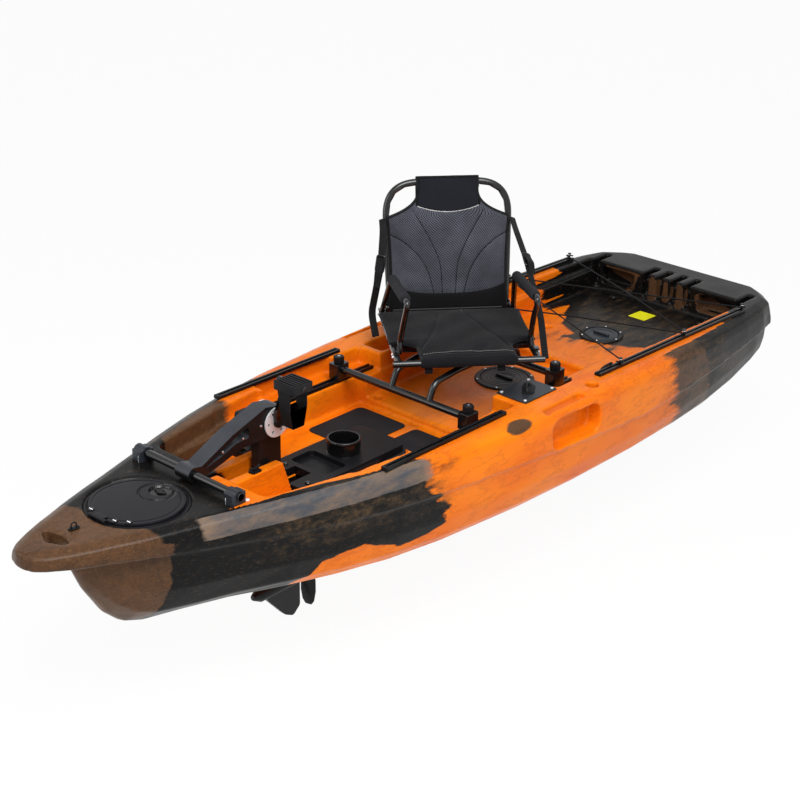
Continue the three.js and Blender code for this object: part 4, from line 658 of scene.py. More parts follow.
def hullZones(piece, values):
    # Where the orange body gives way to black, brown and a grey that is painted reflection on the port
    # shoulder, as a distance in edge widths: each zone is the least of its distances to its borders, and a
    # colour is the greatest of its zones
    points, _ = arraysOf(piece.data)
    points = points / mm
    x, y, z = points.T
    edge = np.abs(y) - deckHalf(x)
    outer = (edge > -values["shoulderIn"]) | (z < values["sideTop"])
    port = y > 0
    least, most = np.minimum.reduce, np.maximum.reduce

    def zone(where, yes=9.0, no=-9.0):
        return np.where(where, yes, no)

    tip = values["tip"]
    tipAt = np.where(z > tip["deckAt"], tip["deck"] - tip["slant"] * y,
                     tip["side"] + tip["flare"] * np.abs(z - tip["middle"]))
    sand = np.maximum((x - tipAt + 30) / tip["soft"], blobs(points, values["bowSpot"]) * 3)

    # Bow deck, its torn edge and the finger of orange along the shoulder, and the inner walls
    finger = values["finger"]
    torn = np.maximum(np.interp(y, *values["bowDeckEdge"]),
                      np.clip(finger["root"] + (edge + finger["in"]) * finger["slope"], 0, finger["end"]))
    deckFront = np.where(port, torn, values["starboardDeck"])
    wallPort, wallStarboard = values["wallFront"]
    wallAt = np.where(port, np.where(z > values["deckLow"], deckFront, wallPort), wallStarboard)
    bowDeck = least([(tipAt + 12 - x) / 40, (x - deckFront) / 26, (z - values["deckLow"]) / 8])
    walls = np.minimum(np.where(outer, -1, (x - wallAt) / 24), (tipAt + 12 - x) / 30)

    # Thin line between the port deck and its shoulder, which carries a painted grey reflection
    line = values["line"]
    half = np.interp(x, *line["half"])
    edging = least([(line["front"] - x) / 40 + 0.1, (x - line["rear"]) / 90 + 0.1,
                    (half - np.abs(edge + line["in"] + half)) / 9])
    edging = zone(port & (z > line["low"]), edging)

    # Port and starboard sides
    side = least([(x - np.interp(z, *values["aftEdge"])) / 55, (tipAt + 10 - x) / 24,
                  (z - np.interp(x, *values["lowEdge"])) / 20, zone(outer)])
    dark = most([bowDeck, walls, edging, side])
    # Painted reflection: the grey band along the port shoulder, where the lamp's reflection falls
    shoulderReflection = values["shoulderReflection"]
    reflectionGrey = least([(x - shoulderReflection["rear"]) / 70, (shoulderReflection["front"] - x) / 50, (edge + shoulderReflection["in"]) / 5,
                  (z - shoulderReflection["low"]) / 9, zone(port, 3.0, -3.0)])
    olive = values["oliveSide"]
    olive = least([(x - olive["rear"]) / 60, (olive["front"] - x) / 160, (z - olive["low"]) / 60,
                   zone(outer, 3.0, -3.0)]) * 0.8
    far = values["farSide"]
    farSide = np.minimum((x - far["rear"]) / 90, (far["front"] - x) / 70) - 0.2
    sand = np.maximum(sand, zone((y < far["y"]) & (z > far["low"]), farSide, -1))

    # Stern: sides, deck, walls and floor of the tank well, brown in the transom's hollows
    stern = values["stern"]
    sternSide = np.minimum((stern["side"] - x + (z - stern["at"]) * stern["slope"]) / 70, zone(outer))
    sternDeck = np.minimum((np.where(port, *stern["deck"]) - x) / 34, (z - stern["deckLow"]) / 6)
    sternWall = np.minimum((np.where(port, *stern["wall"]) - x) / 34, zone(outer, -9.0, 9.0))
    floor = np.minimum((np.interp(y, *values["floorEdge"]) - x) / 45, (values["floorTop"] - z) / 4)
    dark = most([dark, sternSide, sternDeck, sternWall, floor, (stern["end"] - x) / 20])
    brown = blobs(points, values["brownTransom"]) * 2.2
    rear, front, top = values["transomBox"]
    dark = np.where((brown > 0) & (x < front) & (z < top) & (x > rear), -brown, dark)
    sand = most([sand, zone(brown > 0, 0.6, -1), blobs(points, values["scuffs"]) * 2,
                 blobs(points, values["brownFloor"])])
    band = values["band"]
    middle = x - band["x"] - (z - band["at"]) * band["slope"]
    wide = np.where(middle < 0, band["aft"], band["fore"])
    sand = np.maximum(sand, zone(outer, 1 - np.abs(middle) / wide, -1) - 0.1)
    olive = most([olive, np.minimum(floor, (x + 1330) / 200), zone(outer, 1 - np.abs(x + 960) / 150, -1)])
    for name, level in (("dark", dark), ("sand", sand), ("shoulderReflection", reflectionGrey), ("olive", olive)):
        withField(piece, name, np.clip(level, -3, 3))


def hullFinish():
    # Marbled polyethylene, with a painted grey reflection on the port shoulder: each colour's edge is torn by
    # broad noise, then feathered by streaks
    material, shader, w = newMaterial("hullPlastic", Specular_IOR_Level=0.14)
    place = w.place()
    broad = w.math("SUBTRACT", w.noise(place, 2.4, 7.0, 0.62, (1.0, 2.2, 2.2)), 0.5)
    streak = w.math("SUBTRACT", w.noise(place, 9.0, 9.0, 0.7, (1.0, 3.4, 3.4)), 0.5)
    cloud = w.noise(place, 3.2, 6.0, 0.6, (1.0, 2.0, 2.0))
    fine = w.noise(place, 46.0, 8.0, 0.7)
    speck = w.noise(place, 210.0, 3.0, 0.8)
    torn = w.plus(w.times(broad, 1.9), w.times(streak, 2.6))

    def mask(name, amount, soft=0.12):
        return w.range(w.plus(w.field(name), w.times(torn, amount)), -soft, soft)

    orange = w.mix(w.range(cloud, 0.35, 0.68), tone(232, 122, 8), tone(220, 100, 8))
    orange = w.mix(w.range(fine, 0.58, 0.8, 0.0, 0.3), orange, tone(172, 78, 18))
    veins = w.math("ABSOLUTE", w.plus(broad, w.times(streak, 0.7)))
    orange = w.mix(w.range(veins, 0.035, 0.0, 0.0, 0.3), orange, tone(150, 62, 20))
    brown = w.mix(w.range(w.plus(fine, broad), 0.25, 0.75), tone(54, 38, 27), tone(88, 60, 38))
    brown = w.mix(w.range(speck, 0.5, 0.68, 0.0, 0.45), brown, tone(118, 82, 52))
    black = w.mix(w.range(fine, 0.45, 0.7), tone(8, 8, 9), tone(17, 16, 15))
    olive = w.mix(w.range(fine, 0.4, 0.62), tone(30, 27, 22), tone(74, 56, 36))
    # Painted reflection: grey patches laid over the port shoulder's colours stand for the lamp's reflection
    patches = w.plus(w.times(broad, 1.7), w.times(streak, 0.8))
    reflectionGrey = w.mix(w.range(patches, -0.26, 0.04), tone(72, 75, 81), tone(124, 104, 88))
    reflectionGrey = w.mix(w.range(speck, 0.48, 0.7, 0.0, 0.4), reflectionGrey, tone(96, 90, 84))
    base = w.mix(mask("sand", 0.5, 0.2), orange, brown)
    base = w.mix(mask("dark", 0.55), base, black)
    base = w.mix(w.times(mask("olive", 1.1, 0.5), w.range(streak, -0.08, 0.12)), base, olive)
    base = w.mix(w.times(mask("shoulderReflection", 0.35), 0.85), base, reflectionGrey)
    use = w.node("ShaderNodeGroup", {"node_tree": grain}, Scale=520.0, Wear=0.35).outputs
    base = w.mix(w.times(use["Scuffs"], 0.35), base, tone(200, 160, 120))
    w.out(base, shader.inputs["Base Color"])
    w.out(w.range(use["Patches"], 0.3, 0.7, 0.26, 0.4), shader.inputs["Roughness"])
    uneven = w.times(w.noise(place, 30.0, 3.0), 1.2)
    w.relief(shader, 0.12, 0.0012, w.plus(w.times(use["Relief"], 0.5), uneven))
    return material


hullPiece = hullSkin(hull)
hullZones(hullPiece, marks)
dress(hullPiece, hullFinish(), "hull", "hull_shell", 60)
print("hull skin made", len(hullPiece.data.polygons))

# Hatches and bow fittings
bowHatch = {"centre": (1196, 0), "rim": (116, 151.7), "low": 346.3, "lid": 137, "lidLow": 354.6, "top": 363.6,
            "crown": 2.0, "dish": (1112, 34, 5.4), "shallow": (1123, 58, 3.6), "moon": (1127, 46),
            "ring": (13, 1.8, 2.6), "hinge": (1336, 363.6), "ears": 30, "pin": (36, 3),
            "knuckle": ((1318, 1342), (358, 369), 23.5), "sunk": (355, 361.3, 60),
            "latch": (1112, [(0, 359), (12, 359), (12, 362.4), (10.6, 364), (0, 364)]), "wing": (6, 23),
            "clips": [(1296, 86), (1318, 52), (1320, -48)]}


def discSurface(name, centre, radius, low, top, relief, around=192, rows=90):
    # A round plate in polar steps: its top is lifted by relief(x, y), its edge is a quarter round
    share = np.linspace(0, 1, rows) ** 0.85
    angle = np.linspace(0, 2 * np.pi, around, endpoint=False)
    x = share[:, None] * radius * np.cos(angle)
    y = share[:, None] * radius * np.sin(angle)
    lift = relief(x + centre[0], y + centre[1])
    soft = np.minimum(2.2, (top - low) / 2)
    over = np.clip((share * radius - (radius - soft)) / soft, 0, 1)[:, None]
    upper = np.stack([x, y, top + lift - soft * (1 - np.sqrt(1 - over ** 2 + 1e-9))], -1)
    lower = np.stack([x, y, np.full_like(x, low)], -1)[::-1]
    grid = np.concatenate([upper, lower]) + np.array([centre[0], centre[1], 0])
    return merged(gridPiece(name, grid, closeAcross=True))


def step(distance, soft):
    # 0 on one side of an edge, 1 on the other, with a smooth slope between
    t = np.clip(distance / soft, 0, 1)
    return t * t * (3 - 2 * t)


def bowLid(values):
    # Height = crown - dish for the latch - shallow moon beside it - groove near the rim
    dishX, dishRadius, dishDeep = values["dish"]
    shallowX, shallowRadius, shallowDeep = values["shallow"]
    moonX, moonRadius = values["moon"]
    ringIn, ringDeep, ringWide = values["ring"]

    def relief(x, y):
        dish = np.hypot(x - dishX, y)
        reach = np.hypot(x - values["centre"][0], y - values["centre"][1])
        crown = values["crown"] * (1 - (reach / values["lid"]) ** 2)
        moon = np.hypot(x - moonX, y) - moonRadius
        shallow = shallowDeep * step(shallowRadius - np.hypot(x - shallowX, y), 2.6) * step(moon, 2.6)
        ring = ringDeep * hump(reach - values["lid"] + ringIn, ringWide)
        sunk = (dishDeep + crown) * step(dishRadius - dish, 3)
        return crown - sunk - shallow * (dish > dishRadius) - ring
    return discSurface("bowLid", values["centre"], values["lid"], values["lidLow"], values["top"], relief)


def bowRim(values):
    # A turned ring, two ears at the hinge and the pin through them
    inner, outer = values["rim"]
    low, (hingeX, hingeZ), ears = values["low"], values["hinge"], values["ears"]
    profile = [(inner, 0), (outer - 1, 0), (outer, 1), (outer, 5), (outer - 3, 8), (143, 8), (141, 5.5),
               (138.5, 5.5), (137.5, 7.2), (inner + 1, 8), (inner, 7)]
    profile = [(reach, low + rise) for reach, rise in profile]
    ring = turned("rimRing", profile, (*values["centre"], 0), ring=True, around=128)
    parts = [block("ear", about(hingeX, 6), (low, hingeZ + 5), *about(side * ears, 6), 5, 0.8, plane="xz")
             for side in (1, -1)]
    half, radius = values["pin"]
    pin = tube("pin", [(hingeX, -half, hingeZ), (hingeX, half, hingeZ)], radius, 14, 0.6)
    return joined("bowRim", [ring, *parts, pin])


lid = dress(bowLid(bowHatch), lidPlastic, "bow_lid", "bow_hatch_lid")
faceAt = faceVectors(lid, "center") / mm
low, high, reach = bowHatch["sunk"]
fromDish = np.hypot(faceAt[:, 0] - bowHatch["shallow"][0], faceAt[:, 1])
secondFinish(lid, glossBlack, (faceAt[:, 2] > low) & (faceAt[:, 2] < high) & (fromDish < reach))
dress(bowRim(bowHatch), blackPlastic, "hull", "bow_hatch_rim")
along, upright, half = bowHatch["knuckle"]
knuckle = block("lidKnuckle", along, upright, -half, half, 4, 1.0, plane="xz")
dress(knuckle, lidPlastic, "bow_lid")
latchX, bossProfile = bowHatch["latch"]
latch = joined("bowLatch", [
    turned("latchBoss", bossProfile, (latchX, 0, 0), around=40),
    block("latchWing", about(latchX, bowHatch["wing"][0]), about(0, bowHatch["wing"][1]), 359.2, 363.2, 5.5)])
dress(latch, blackPlastic, "bow_latch", "bow_hatch_latch")
clips = [block("clip", about(x, 9), about(y, 6), 363.2, 367.4, 3) for x, y in bowHatch["clips"]]
dress(joined("lidClips", clips), glossBlack, "bow_lid")
clipPins = [tube("clipPin", [(x, y - 7, 367.6), (x, y + 7, 367.6)], 1.6, 10, 0.4)
            for x, y in bowHatch["clips"]]
dress(joined("lidClipPins", clipPins), shine, "bow_lid")

padeye = {"x": 1416, "foot": (17, 9), "low": 360.3, "thick": 4, "ringUp": 11, "ring": 9, "wire": 2,
          "bolts": (-12.5, 12.5), "bolt": [(0, 364), (4, 364), (3.4, 366), (0, 366.6)]}


def padeyePiece(values):
    # A ring of round wire that stands on a bolted foot
    x, low, (long, wide) = values["x"], values["low"], values["foot"]
    middle = np.array([x, 0, low + values["ringUp"]])
    arch = np.linspace(0, 2 * np.pi, 48, endpoint=False)
    outward = np.stack([np.cos(arch), 0 * arch, np.sin(arch)], -1)
    section = np.linspace(0, 2 * np.pi, 14, endpoint=False)[None, :, None]
    wire = values["wire"] * (np.cos(section) * outward[:, None] + np.sin(section) * np.array([0, 1, 0]))
    grid = (middle + values["ring"] * outward)[:, None] + wire
    foot = block("eyeFoot", about(x, long), about(0, wide), low, low + values["thick"], 8)
    bolts = [turned("eyeBolt", values["bolt"], (x + offset, 0, 0), around=18) for offset in values["bolts"]]
    return joined("padEye", [gridPiece("eyeRing", grid, closeAlong=True, closeAcross=True), foot, *bolts])


dress(padeyePiece(padeye), blackPlastic, "hull", "bow_padeye")

deckHatches = {
    "mid": {"x": -440, "rim": (85.4, 105), "lid": 84, "cover": lidPlastic, "steps": (74, 60, 46)},
    "stern": {"x": -1012, "rim": (65.4, 82), "lid": 64, "cover": clampGrey, "steps": (58,)},
}
hatchLevels = {"low": 225.3, "top": 231.3, "ridge": (1.4, 2.4), "hollow": (2.5, 8, 6),
               "grip": (6, 35, 228.4, 238.2), "screwIn": 8, "turn": 0.4,
               "screw": [(0, 232), (3.4, 232), (3.2, 233.4), (1.6, 234.1), (0, 234.2)]}


def deckHatch(label, values, levels):
    # A turned rim, a cover with ridges about its hollow, a grip and six screws
    inner, outer = values["rim"]
    low, top, x = levels["low"], levels["top"], values["x"]
    ridgeHigh, ridgeWide = levels["ridge"]
    deep, hollowIn, soft = levels["hollow"]
    profile = [(inner, 0), (outer, 0), (outer, 3), (outer - 3, 6.5), (inner + 4, 8), (inner + 1, 7.4),
               (inner, 6)]
    profile = [(reach, low + rise) for reach, rise in profile]
    rim = turned(label + "HatchRim", profile, (x, 0, 0), ring=True, around=96)
    dress(rim, blackPlastic, "hull", label + "_hatch_rim")

    def relief(px, py):
        reach = np.hypot(px - x, py)
        ridges = sum(ridgeHigh * hump(reach - place, ridgeWide) for place in values["steps"])
        return ridges - deep * step(values["steps"][-1] - hollowIn - reach, soft)
    cover = discSurface(label + "HatchCover", (x, 0), values["lid"], low, top, relief, rows=70)
    dress(cover, values["cover"], label + "_cover", label + "_hatch_cover")
    long, wide, gripLow, gripHigh = levels["grip"]
    grip = block(label + "HatchGrip", about(x, long), about(0, wide), gripLow, gripHigh, 5.5, 2.2, 3)
    dress(grip, values["cover"], label + "_cover")
    ring = outer - levels["screwIn"]
    places = [(x + ring * math.cos(angle), ring * math.sin(angle), 0)
              for angle in np.linspace(0, 2 * np.pi, 6, endpoint=False) + levels["turn"]]
    screws = [turned("screw", levels["screw"], place, around=14) for place in places]
    dress(joined(label + "HatchScrews", screws), shine, "hull")


for label, values in deckHatches.items():
    deckHatch(label, values, hatchLevels)
print("hatches made")

# Console, pads, tracks and rails
console = {"cup": (366, [(47.6, 206), (47.6, 273.5), (48.6, 276), (51, 276.6), (53.4, 276), (55.5, 273),
                         (55.6, 269), (53.6, 266.5), (53.5, 229), (56, 228.4), (56, 227), (47.6, 205)]),
           "buttons": {"trayLatch": (604, 78), "trayBoss": (560, -66)},
           "button": [(0, 228), (9, 228), (9, 231), (7, 233.4), (0, 234)]}
tracks = {"y": 364, "half": 12.4, "caps": (25, 570), "screws": (44, 170, 297, 424, 552),
          "screw": [(0, 364.5), (3.6, 364.5), (3.4, 366.2), (1.8, 367), (0, 367.1)]}
bothSides = ((1, "port"), (-1, "starboard"))

dress(softened("console_tray", 1.6), blackPlastic, "hull", "console_tray", 50)
cupX, cupProfile = console["cup"]
cup = turned("cupRing", cupProfile, (cupX, 0, 0), ring=True, around=96)
dress(cup, glossBlack, "hull")
for label, place in console["buttons"].items():
    button = turned(label, console["button"], (*place, 0), around=28)
    dress(button, glossBlack, "hull")
for side, name in bothSides:
    dressed(f"foot_pad_{name}", foamPad, "hull", 1.4)
    for end in ("front", "rear"):
        dressed(f"gear_track_{end}_{name}", trackMetal, "hull", 0.7)
    for end in ("front", "rear"):
        dressed(f"seat_rail_{end}_{name}", trackMetal, "hull", 0.8)
    y = side * tracks["y"]
    screws = [turned("trackScrew", tracks["screw"], (x, y, 0), around=14) for x in tracks["screws"]]
    dress(joined(f"trackScrews_{name}", screws), steel, "hull")
    caps = [block("cap", about(x, 5), about(y, tracks["half"]), 360.2, 371.6, 4, 1.0) for x in tracks["caps"]]
    dress(joined(f"trackCaps_{name}", caps), blackPlastic, "hull")

# Accessory plate with its boss, the cleat in the well, the blank patch and the loop by the port rail
fittings = {
    "bossFoot": ([(-214, 292), (-186, 272), (-134, 312), (-140, 334), (-160, 342), (-208, 312)], 12),
    "bossLoop": [(-204, 296, 367), (-190, 288, 376), (-170, 300, 380), (-152, 318, 377), (-148, 326, 367)],
    "screw": [(0, 365), (5.6, 365), (5.3, 367.2), (3, 368.4), (0, 368.6)],
    "screws": ((-236, -97), (259, 356)),
    "cleatFoot": ((774, 812), (36, 62)), "cleatPost": ((793, 49), [(0, 329), (7, 329), (6, 338), (0, 338)]),
    "cleatHorn": [(772, 47, 341), (782, 48, 338), (793, 49, 337), (804, 50, 338), (814, 51, 341)],
    "patch": ([(-1246, -44), (-1246, 30), (-1322, 34), (-1322, -40)], 225.25, 225.9),
    "sternLoop": [(-546, 364, 352), (-542, 374, 366), (-520, 380, 372), (-496, 375, 366), (-490, 366, 352)],
}
dressed("accessory_plate", clampGrey, "hull", 0.8)
boss = joined("plateBoss", [slab("bossFoot", roundedOutline(*fittings["bossFoot"]), 365.2, 369.5, 1.4),
                            tube("bossLoop", smoothRoute(fittings["bossLoop"], 30), 6.5, 16)])
dress(boss, strapRubber, "hull")
screwX, screwY = fittings["screws"]
plateScrews = [turned("screw", fittings["screw"], (x, y, 0), around=20) for x in screwX for y in screwY]
dress(joined("plateScrews", plateScrews), shine, "hull")
postAt, postProfile = fittings["cleatPost"]
cleat = joined("wellCleat", [block("cleatFoot", *fittings["cleatFoot"], 325.2, 330, 8),
                             turned("cleatPost", postProfile, (*postAt, 0), around=20),
                             tube("cleatHorn", smoothRoute(fittings["cleatHorn"], 20), 4.5, 14)])
dress(cleat, blackPlastic, "hull")
patchOutline, patchLow, patchHigh = fittings["patch"]
patch = slab("tankPatch", roundedOutline(patchOutline, 4), patchLow, patchHigh, 0.2)
dress(patch, patchYellow, "hull")
loop = tube("sternLoop", smoothRoute(fittings["sternLoop"], 36), 4, 14)
dress(loop, strapRubber, "hull")
print("deck fittings made")

# Pedal drive
drive = {"bar": (1010, 226, 386, 12.1), "clampY": 199, "bolts": ((-20, 12), (21, -10)), "washer": (-33, 14),
         "bolt": [(0, 360), (5.5, 360), (5.5, 380), (4.2, 382.5), (0, 383)],
         # The next line ends with the place along the boat where the drive arm's painted top light begins
         "washerProfile": [(0, 360.4), (8, 360.4), (7.4, 363), (0, 363.4)], "litTopFrom": 655,
         "armScrews": ((900, 420), (820, 436), (748, 452)),
         "armScrew": [(0, 29), (4.5, 29), (4.2, 31), (2, 32), (0, 32.2)],
         "axle": (688, 448), "crank": 158, "lean": 8.4,
         "boss": [(0, 36.8), (15.5, 36.8), (15.5, 47), (13.6, 50.4), (0, 50.6)],
         "crankBolt": [(0, 80), (7.6, 80), (7.2, 82), (4.6, 83), (4.2, 81.4), (0, 81.2)],
         "pedalCap": [(0, 173), (9, 173), (9, 175.4), (7, 177), (0, 177.2)],
         "ribs": (33, 7), "ribSpans": {"whole": ((88, 170),), "split": ((88, 105), (153, 170))},
         "noseAt": (540, -138),
         "nose": [(0, -31), (3.5, -30.4), (8, -26), (12, -18), (14.6, -8), (15, 0), (0, 0)]}
turnedAluminium = turnedMetal("turnedAluminium", (236, 237, 240), 0.42, drive["axle"])


def across(name, places, profile, around=56):
    # The same turned profile about crosswise axes at several (x, z, side) places, joined
    parts = [turned(name + "Part", [(reach, side * out) for reach, out in profile], (x, 0, z), "y", around)
             for x, z, side in places]
    return joined(name, parts)


def pedalRibs(name, x, z, side, values):
    # Ribs across both faces of the pedal; on the face that the strap stands on they leave its middle free
    ribs = []
    half, count = values["ribs"]
    for face in (1, -1):
        spans = values["ribSpans"]["whole" if side * face > 0 else "split"]
        levels = sorted((z + face * 11, z + face * 14.4))
        for offset in np.linspace(-half, half, count):
            ribs += [block("rib", about(x + offset, 2.2), (side * low, side * high), *levels, 1.4, 0.8, 1, 3)
                     for low, high in spans]
    return joined(f"pedalRibs_{name}", ribs)


barX, barHalf, barZ, barRadius = drive["bar"]
bar = tube("bar", [(barX, -barHalf, barZ), (barX, barHalf, barZ)], barRadius, 40, 1.5)
dress(joined("driveBar", [softened("drive_bar", 0.6), bar]), blackTube, "hull", "drive_bar")
for side, name in bothSides:
    dressed(f"drive_clamp_{name}", clampGrey, "hull", 2.4, 3)
    y = side * drive["clampY"]
    bolts = [turned("bolt", drive["bolt"], (barX + ahead, y + out * side, 0), around=6)
             for ahead, out in drive["bolts"]]
    ahead, out = drive["washer"]
    washer = turned("washer", drive["washerProfile"], (barX + ahead, y + out * side, 0), around=20)
    dress(joined(f"clampBolts_{name}", bolts + [washer]), shine, "hull")
arm = dressed("drive_arm", armLitGrey, "drive", 2.6, 3, 30)
# Painted light: the arm's upward faces ahead of the crank are a paler grey than its near-black other faces,
# as light falling from above
facesUp = faceVectors(arm, "normal")[:, 2] > 0.2
litTop = facesUp & (faceVectors(arm, "center")[:, 0] > drive["litTopFrom"] * mm)
secondFinish(arm, legPlastic, ~litTop)
dressed("drive_leg", legPlastic, "drive", 1.8, 2, 34)
screwPlaces = [(x, z, side) for side in (1, -1) for x, z in drive["armScrews"]]
dress(across("armScrews", screwPlaces, drive["armScrew"], 18), steel, "drive")

axleX, axleZ = drive["axle"]
for side, name in bothSides:
    dressed(f"crank_disc_{name}", turnedAluminium, "crank", 0.5, 2, 30)
    dressed(f"crank_arm_{name}", glossBlack, "crank", 2.2, 3, 34)
    axle = [(axleX, axleZ, side)]
    dress(across(f"crankBoss_{name}", axle, drive["boss"]), blackPlastic, "crank")
    dress(across(f"crankBolt_{name}", axle, drive["crankBolt"]), shine, "crank")
for side, name in bothSides:
    lean = math.radians(drive["lean"])
    x, z = axleX + side * drive["crank"] * math.sin(lean), axleZ + side * drive["crank"] * math.cos(lean)
    body = f"{name}_pedal"
    dressed(f"pedal_{name}", blackPlastic, body, 1.6)
    dress(pedalRibs(name, x, z, side, drive), blackPlastic, body)
    cap = across(f"pedalCap_{name}", [(x, z, side)], drive["pedalCap"])
    dress(cap, glossBlack, body)
    dressed(f"pedal_strap_{name}", strapRubber, body, 1.0, 3, 60)

dressed("propeller", legPlastic, "screw", 0.9, 2, 50)
noseX, noseZ = drive["noseAt"]
nose = turned("propNut", drive["nose"], (noseX, 0, noseZ), "x", 40)
for name in ("crank_axle", "crank_gear", "drive_shaft", "prop_shaft"):
    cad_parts[name].data.materials.clear()
    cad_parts[name].data.materials.append(steel)
dress(nose, legPlastic, "screw")
print("drive made")

# Crossbars, knobs and the seat's pipe base
carriage = {"bars": (("front", 98, 283), ("rear", -368, 268)), "z": 346, "radius": 12.65, "pipe": 11.15,
            "route": [(98, 346), (72, 406), (-32, 418), (-238, 418), (-342, 406), (-368, 346)], "bend": 24,
            "pipeY": (118, -45),
            "pin": [(0, 390), (5, 390), (4.6, 392), (0, 392.6)]}
for end, x, half in carriage["bars"]:
    pipe = tube("pipe", [(x, -half, carriage["z"]), (x, half, carriage["z"])], carriage["radius"], 36, 1)
    crossbar = joined(f"crossbar_{end}_bar", [softened(f"crossbar_{end}", 2.6, 3), pipe])
    dress(crossbar, blackTube, "carriage", f"crossbar_{end}")
    for side, name in bothSides:
        dressed(f"clamp_knob_{end}_{name}", blackPlastic, f"knob_{end}_{name}", 2.6, 3)
        pin = turned(f"knobPin_{end}_{name}", carriage["pin"], (x, side * half, 0), around=20)
        dress(pin, steel, f"knob_{end}_{name}")
paths = [route([(x, y, z) for x, z in carriage["route"]], carriage["bend"]) for y in carriage["pipeY"]]
pipes = [tube("pipe", path, carriage["pipe"], 28, 1) for path in paths]
seatBase = joined("seatBase", [softened("seat_base", 0.8), *pipes])
dress(seatBase, blackTube, "carriage", "seat_base")
print("carriage made")

# Seat: its own frame is turned 50 degrees about the swivel, and its back leans 12 degrees more
seatSet = {"turn": math.radians(50), "swivelX": -178, "lean": math.radians(12), "hinge": (-214, 489)}


def seatPlace(points):
    # From the seat's own frame to the boat's: a turn about the swivel
    points = np.asarray(points, float)
    cos, sin = math.cos(seatSet["turn"]), math.sin(seatSet["turn"])
    return np.stack([points[..., 0] * cos - points[..., 1] * sin + seatSet["swivelX"],
                     points[..., 0] * sin + points[..., 1] * cos, points[..., 2]], -1)


def seatWay(direction):
    # A direction turned with the seat
    return seatPlace(direction) - seatPlace([0, 0, 0])


def backPlace(points):
    # From the back's own frame to the boat's: a lean about its hinge, then the seat's turn
    points = np.asarray(points, float)
    cos, sin = math.cos(seatSet["lean"]), math.sin(seatSet["lean"])
    hingeX, hingeZ = seatSet["hinge"]
    return seatPlace(np.stack([points[..., 0] * cos - points[..., 2] * sin + hingeX, points[..., 1],
                               points[..., 0] * sin + points[..., 2] * cos + hingeZ], -1))


def nearPath(points, path):
    # Distance of flat points to a broken line
    path = np.asarray(path, float)
    start, leg = path[:-1], np.diff(path, axis=0)
    away = points[:, None] - start
    share = np.clip((away * leg).sum(-1) / (leg ** 2).sum(-1), 0, 1)
    return np.linalg.norm(away - share[..., None] * leg, axis=-1).min(1)


def stitches(name, path, long, space, radius):
    # Short thread loops lying end to end on a path
    place = np.concatenate([[0], np.cumsum(np.linalg.norm(np.diff(path, axis=0), axis=1))])
    parts = []
    for start in np.arange(space, place[-1] - long, long + space):
        along = np.array([start, start + long * 0.3, start + long * 0.7, start + long])
        points = np.stack([np.interp(along, place, path[:, k]) for k in range(3)], -1)
        points[[0, 3], 2] -= radius * 0.8
        parts.append(tube("stitch", points, radius, 6, 0))
    return joined(name, parts)


def panelFinish(name, base, gap, dark, header, yarns, slant):
    # Cloth in zones: fields give the distance in millimetres inside the header and inside dark binding
    material = fabricFinish(name, base, gap, yarns, slant=slant, relief=0.9)
    w = Wires(material.node_tree)
    shader = material.node_tree.nodes["Principled BSDF"]
    cloth = shader.inputs["Base Color"].links[0].from_socket
    inHeader, inDark = (w.range(w.field(field), -0.7, 0.7) for field in ("header", "dark"))
    w.out(w.mix(inDark, w.mix(inHeader, cloth, tone(*header)), tone(*dark)), shader.inputs["Base Color"])
    return material


seatPad = {"rear": -188, "front": 237, "half": 245, "waist": (6, 0.65), "notch": (88, 140, 158, 2.6),
           "low": 476.4, "thick": 9, "thinning": (215, 60, 0.42), "crown": 12, "tube": (226, 465, 11.6),
           "wrap": 205, "seam": (-185, 150, 42, 100, 1.7), "crease": (3.4, 5.0), "cross": (206, 2.0, 3.4),
           "puckers": (188, 0.9, 22), "edge": 9, "columns": 150, "rows": 150, "wrapRows": 34,
           "stitched": (198, 150)}


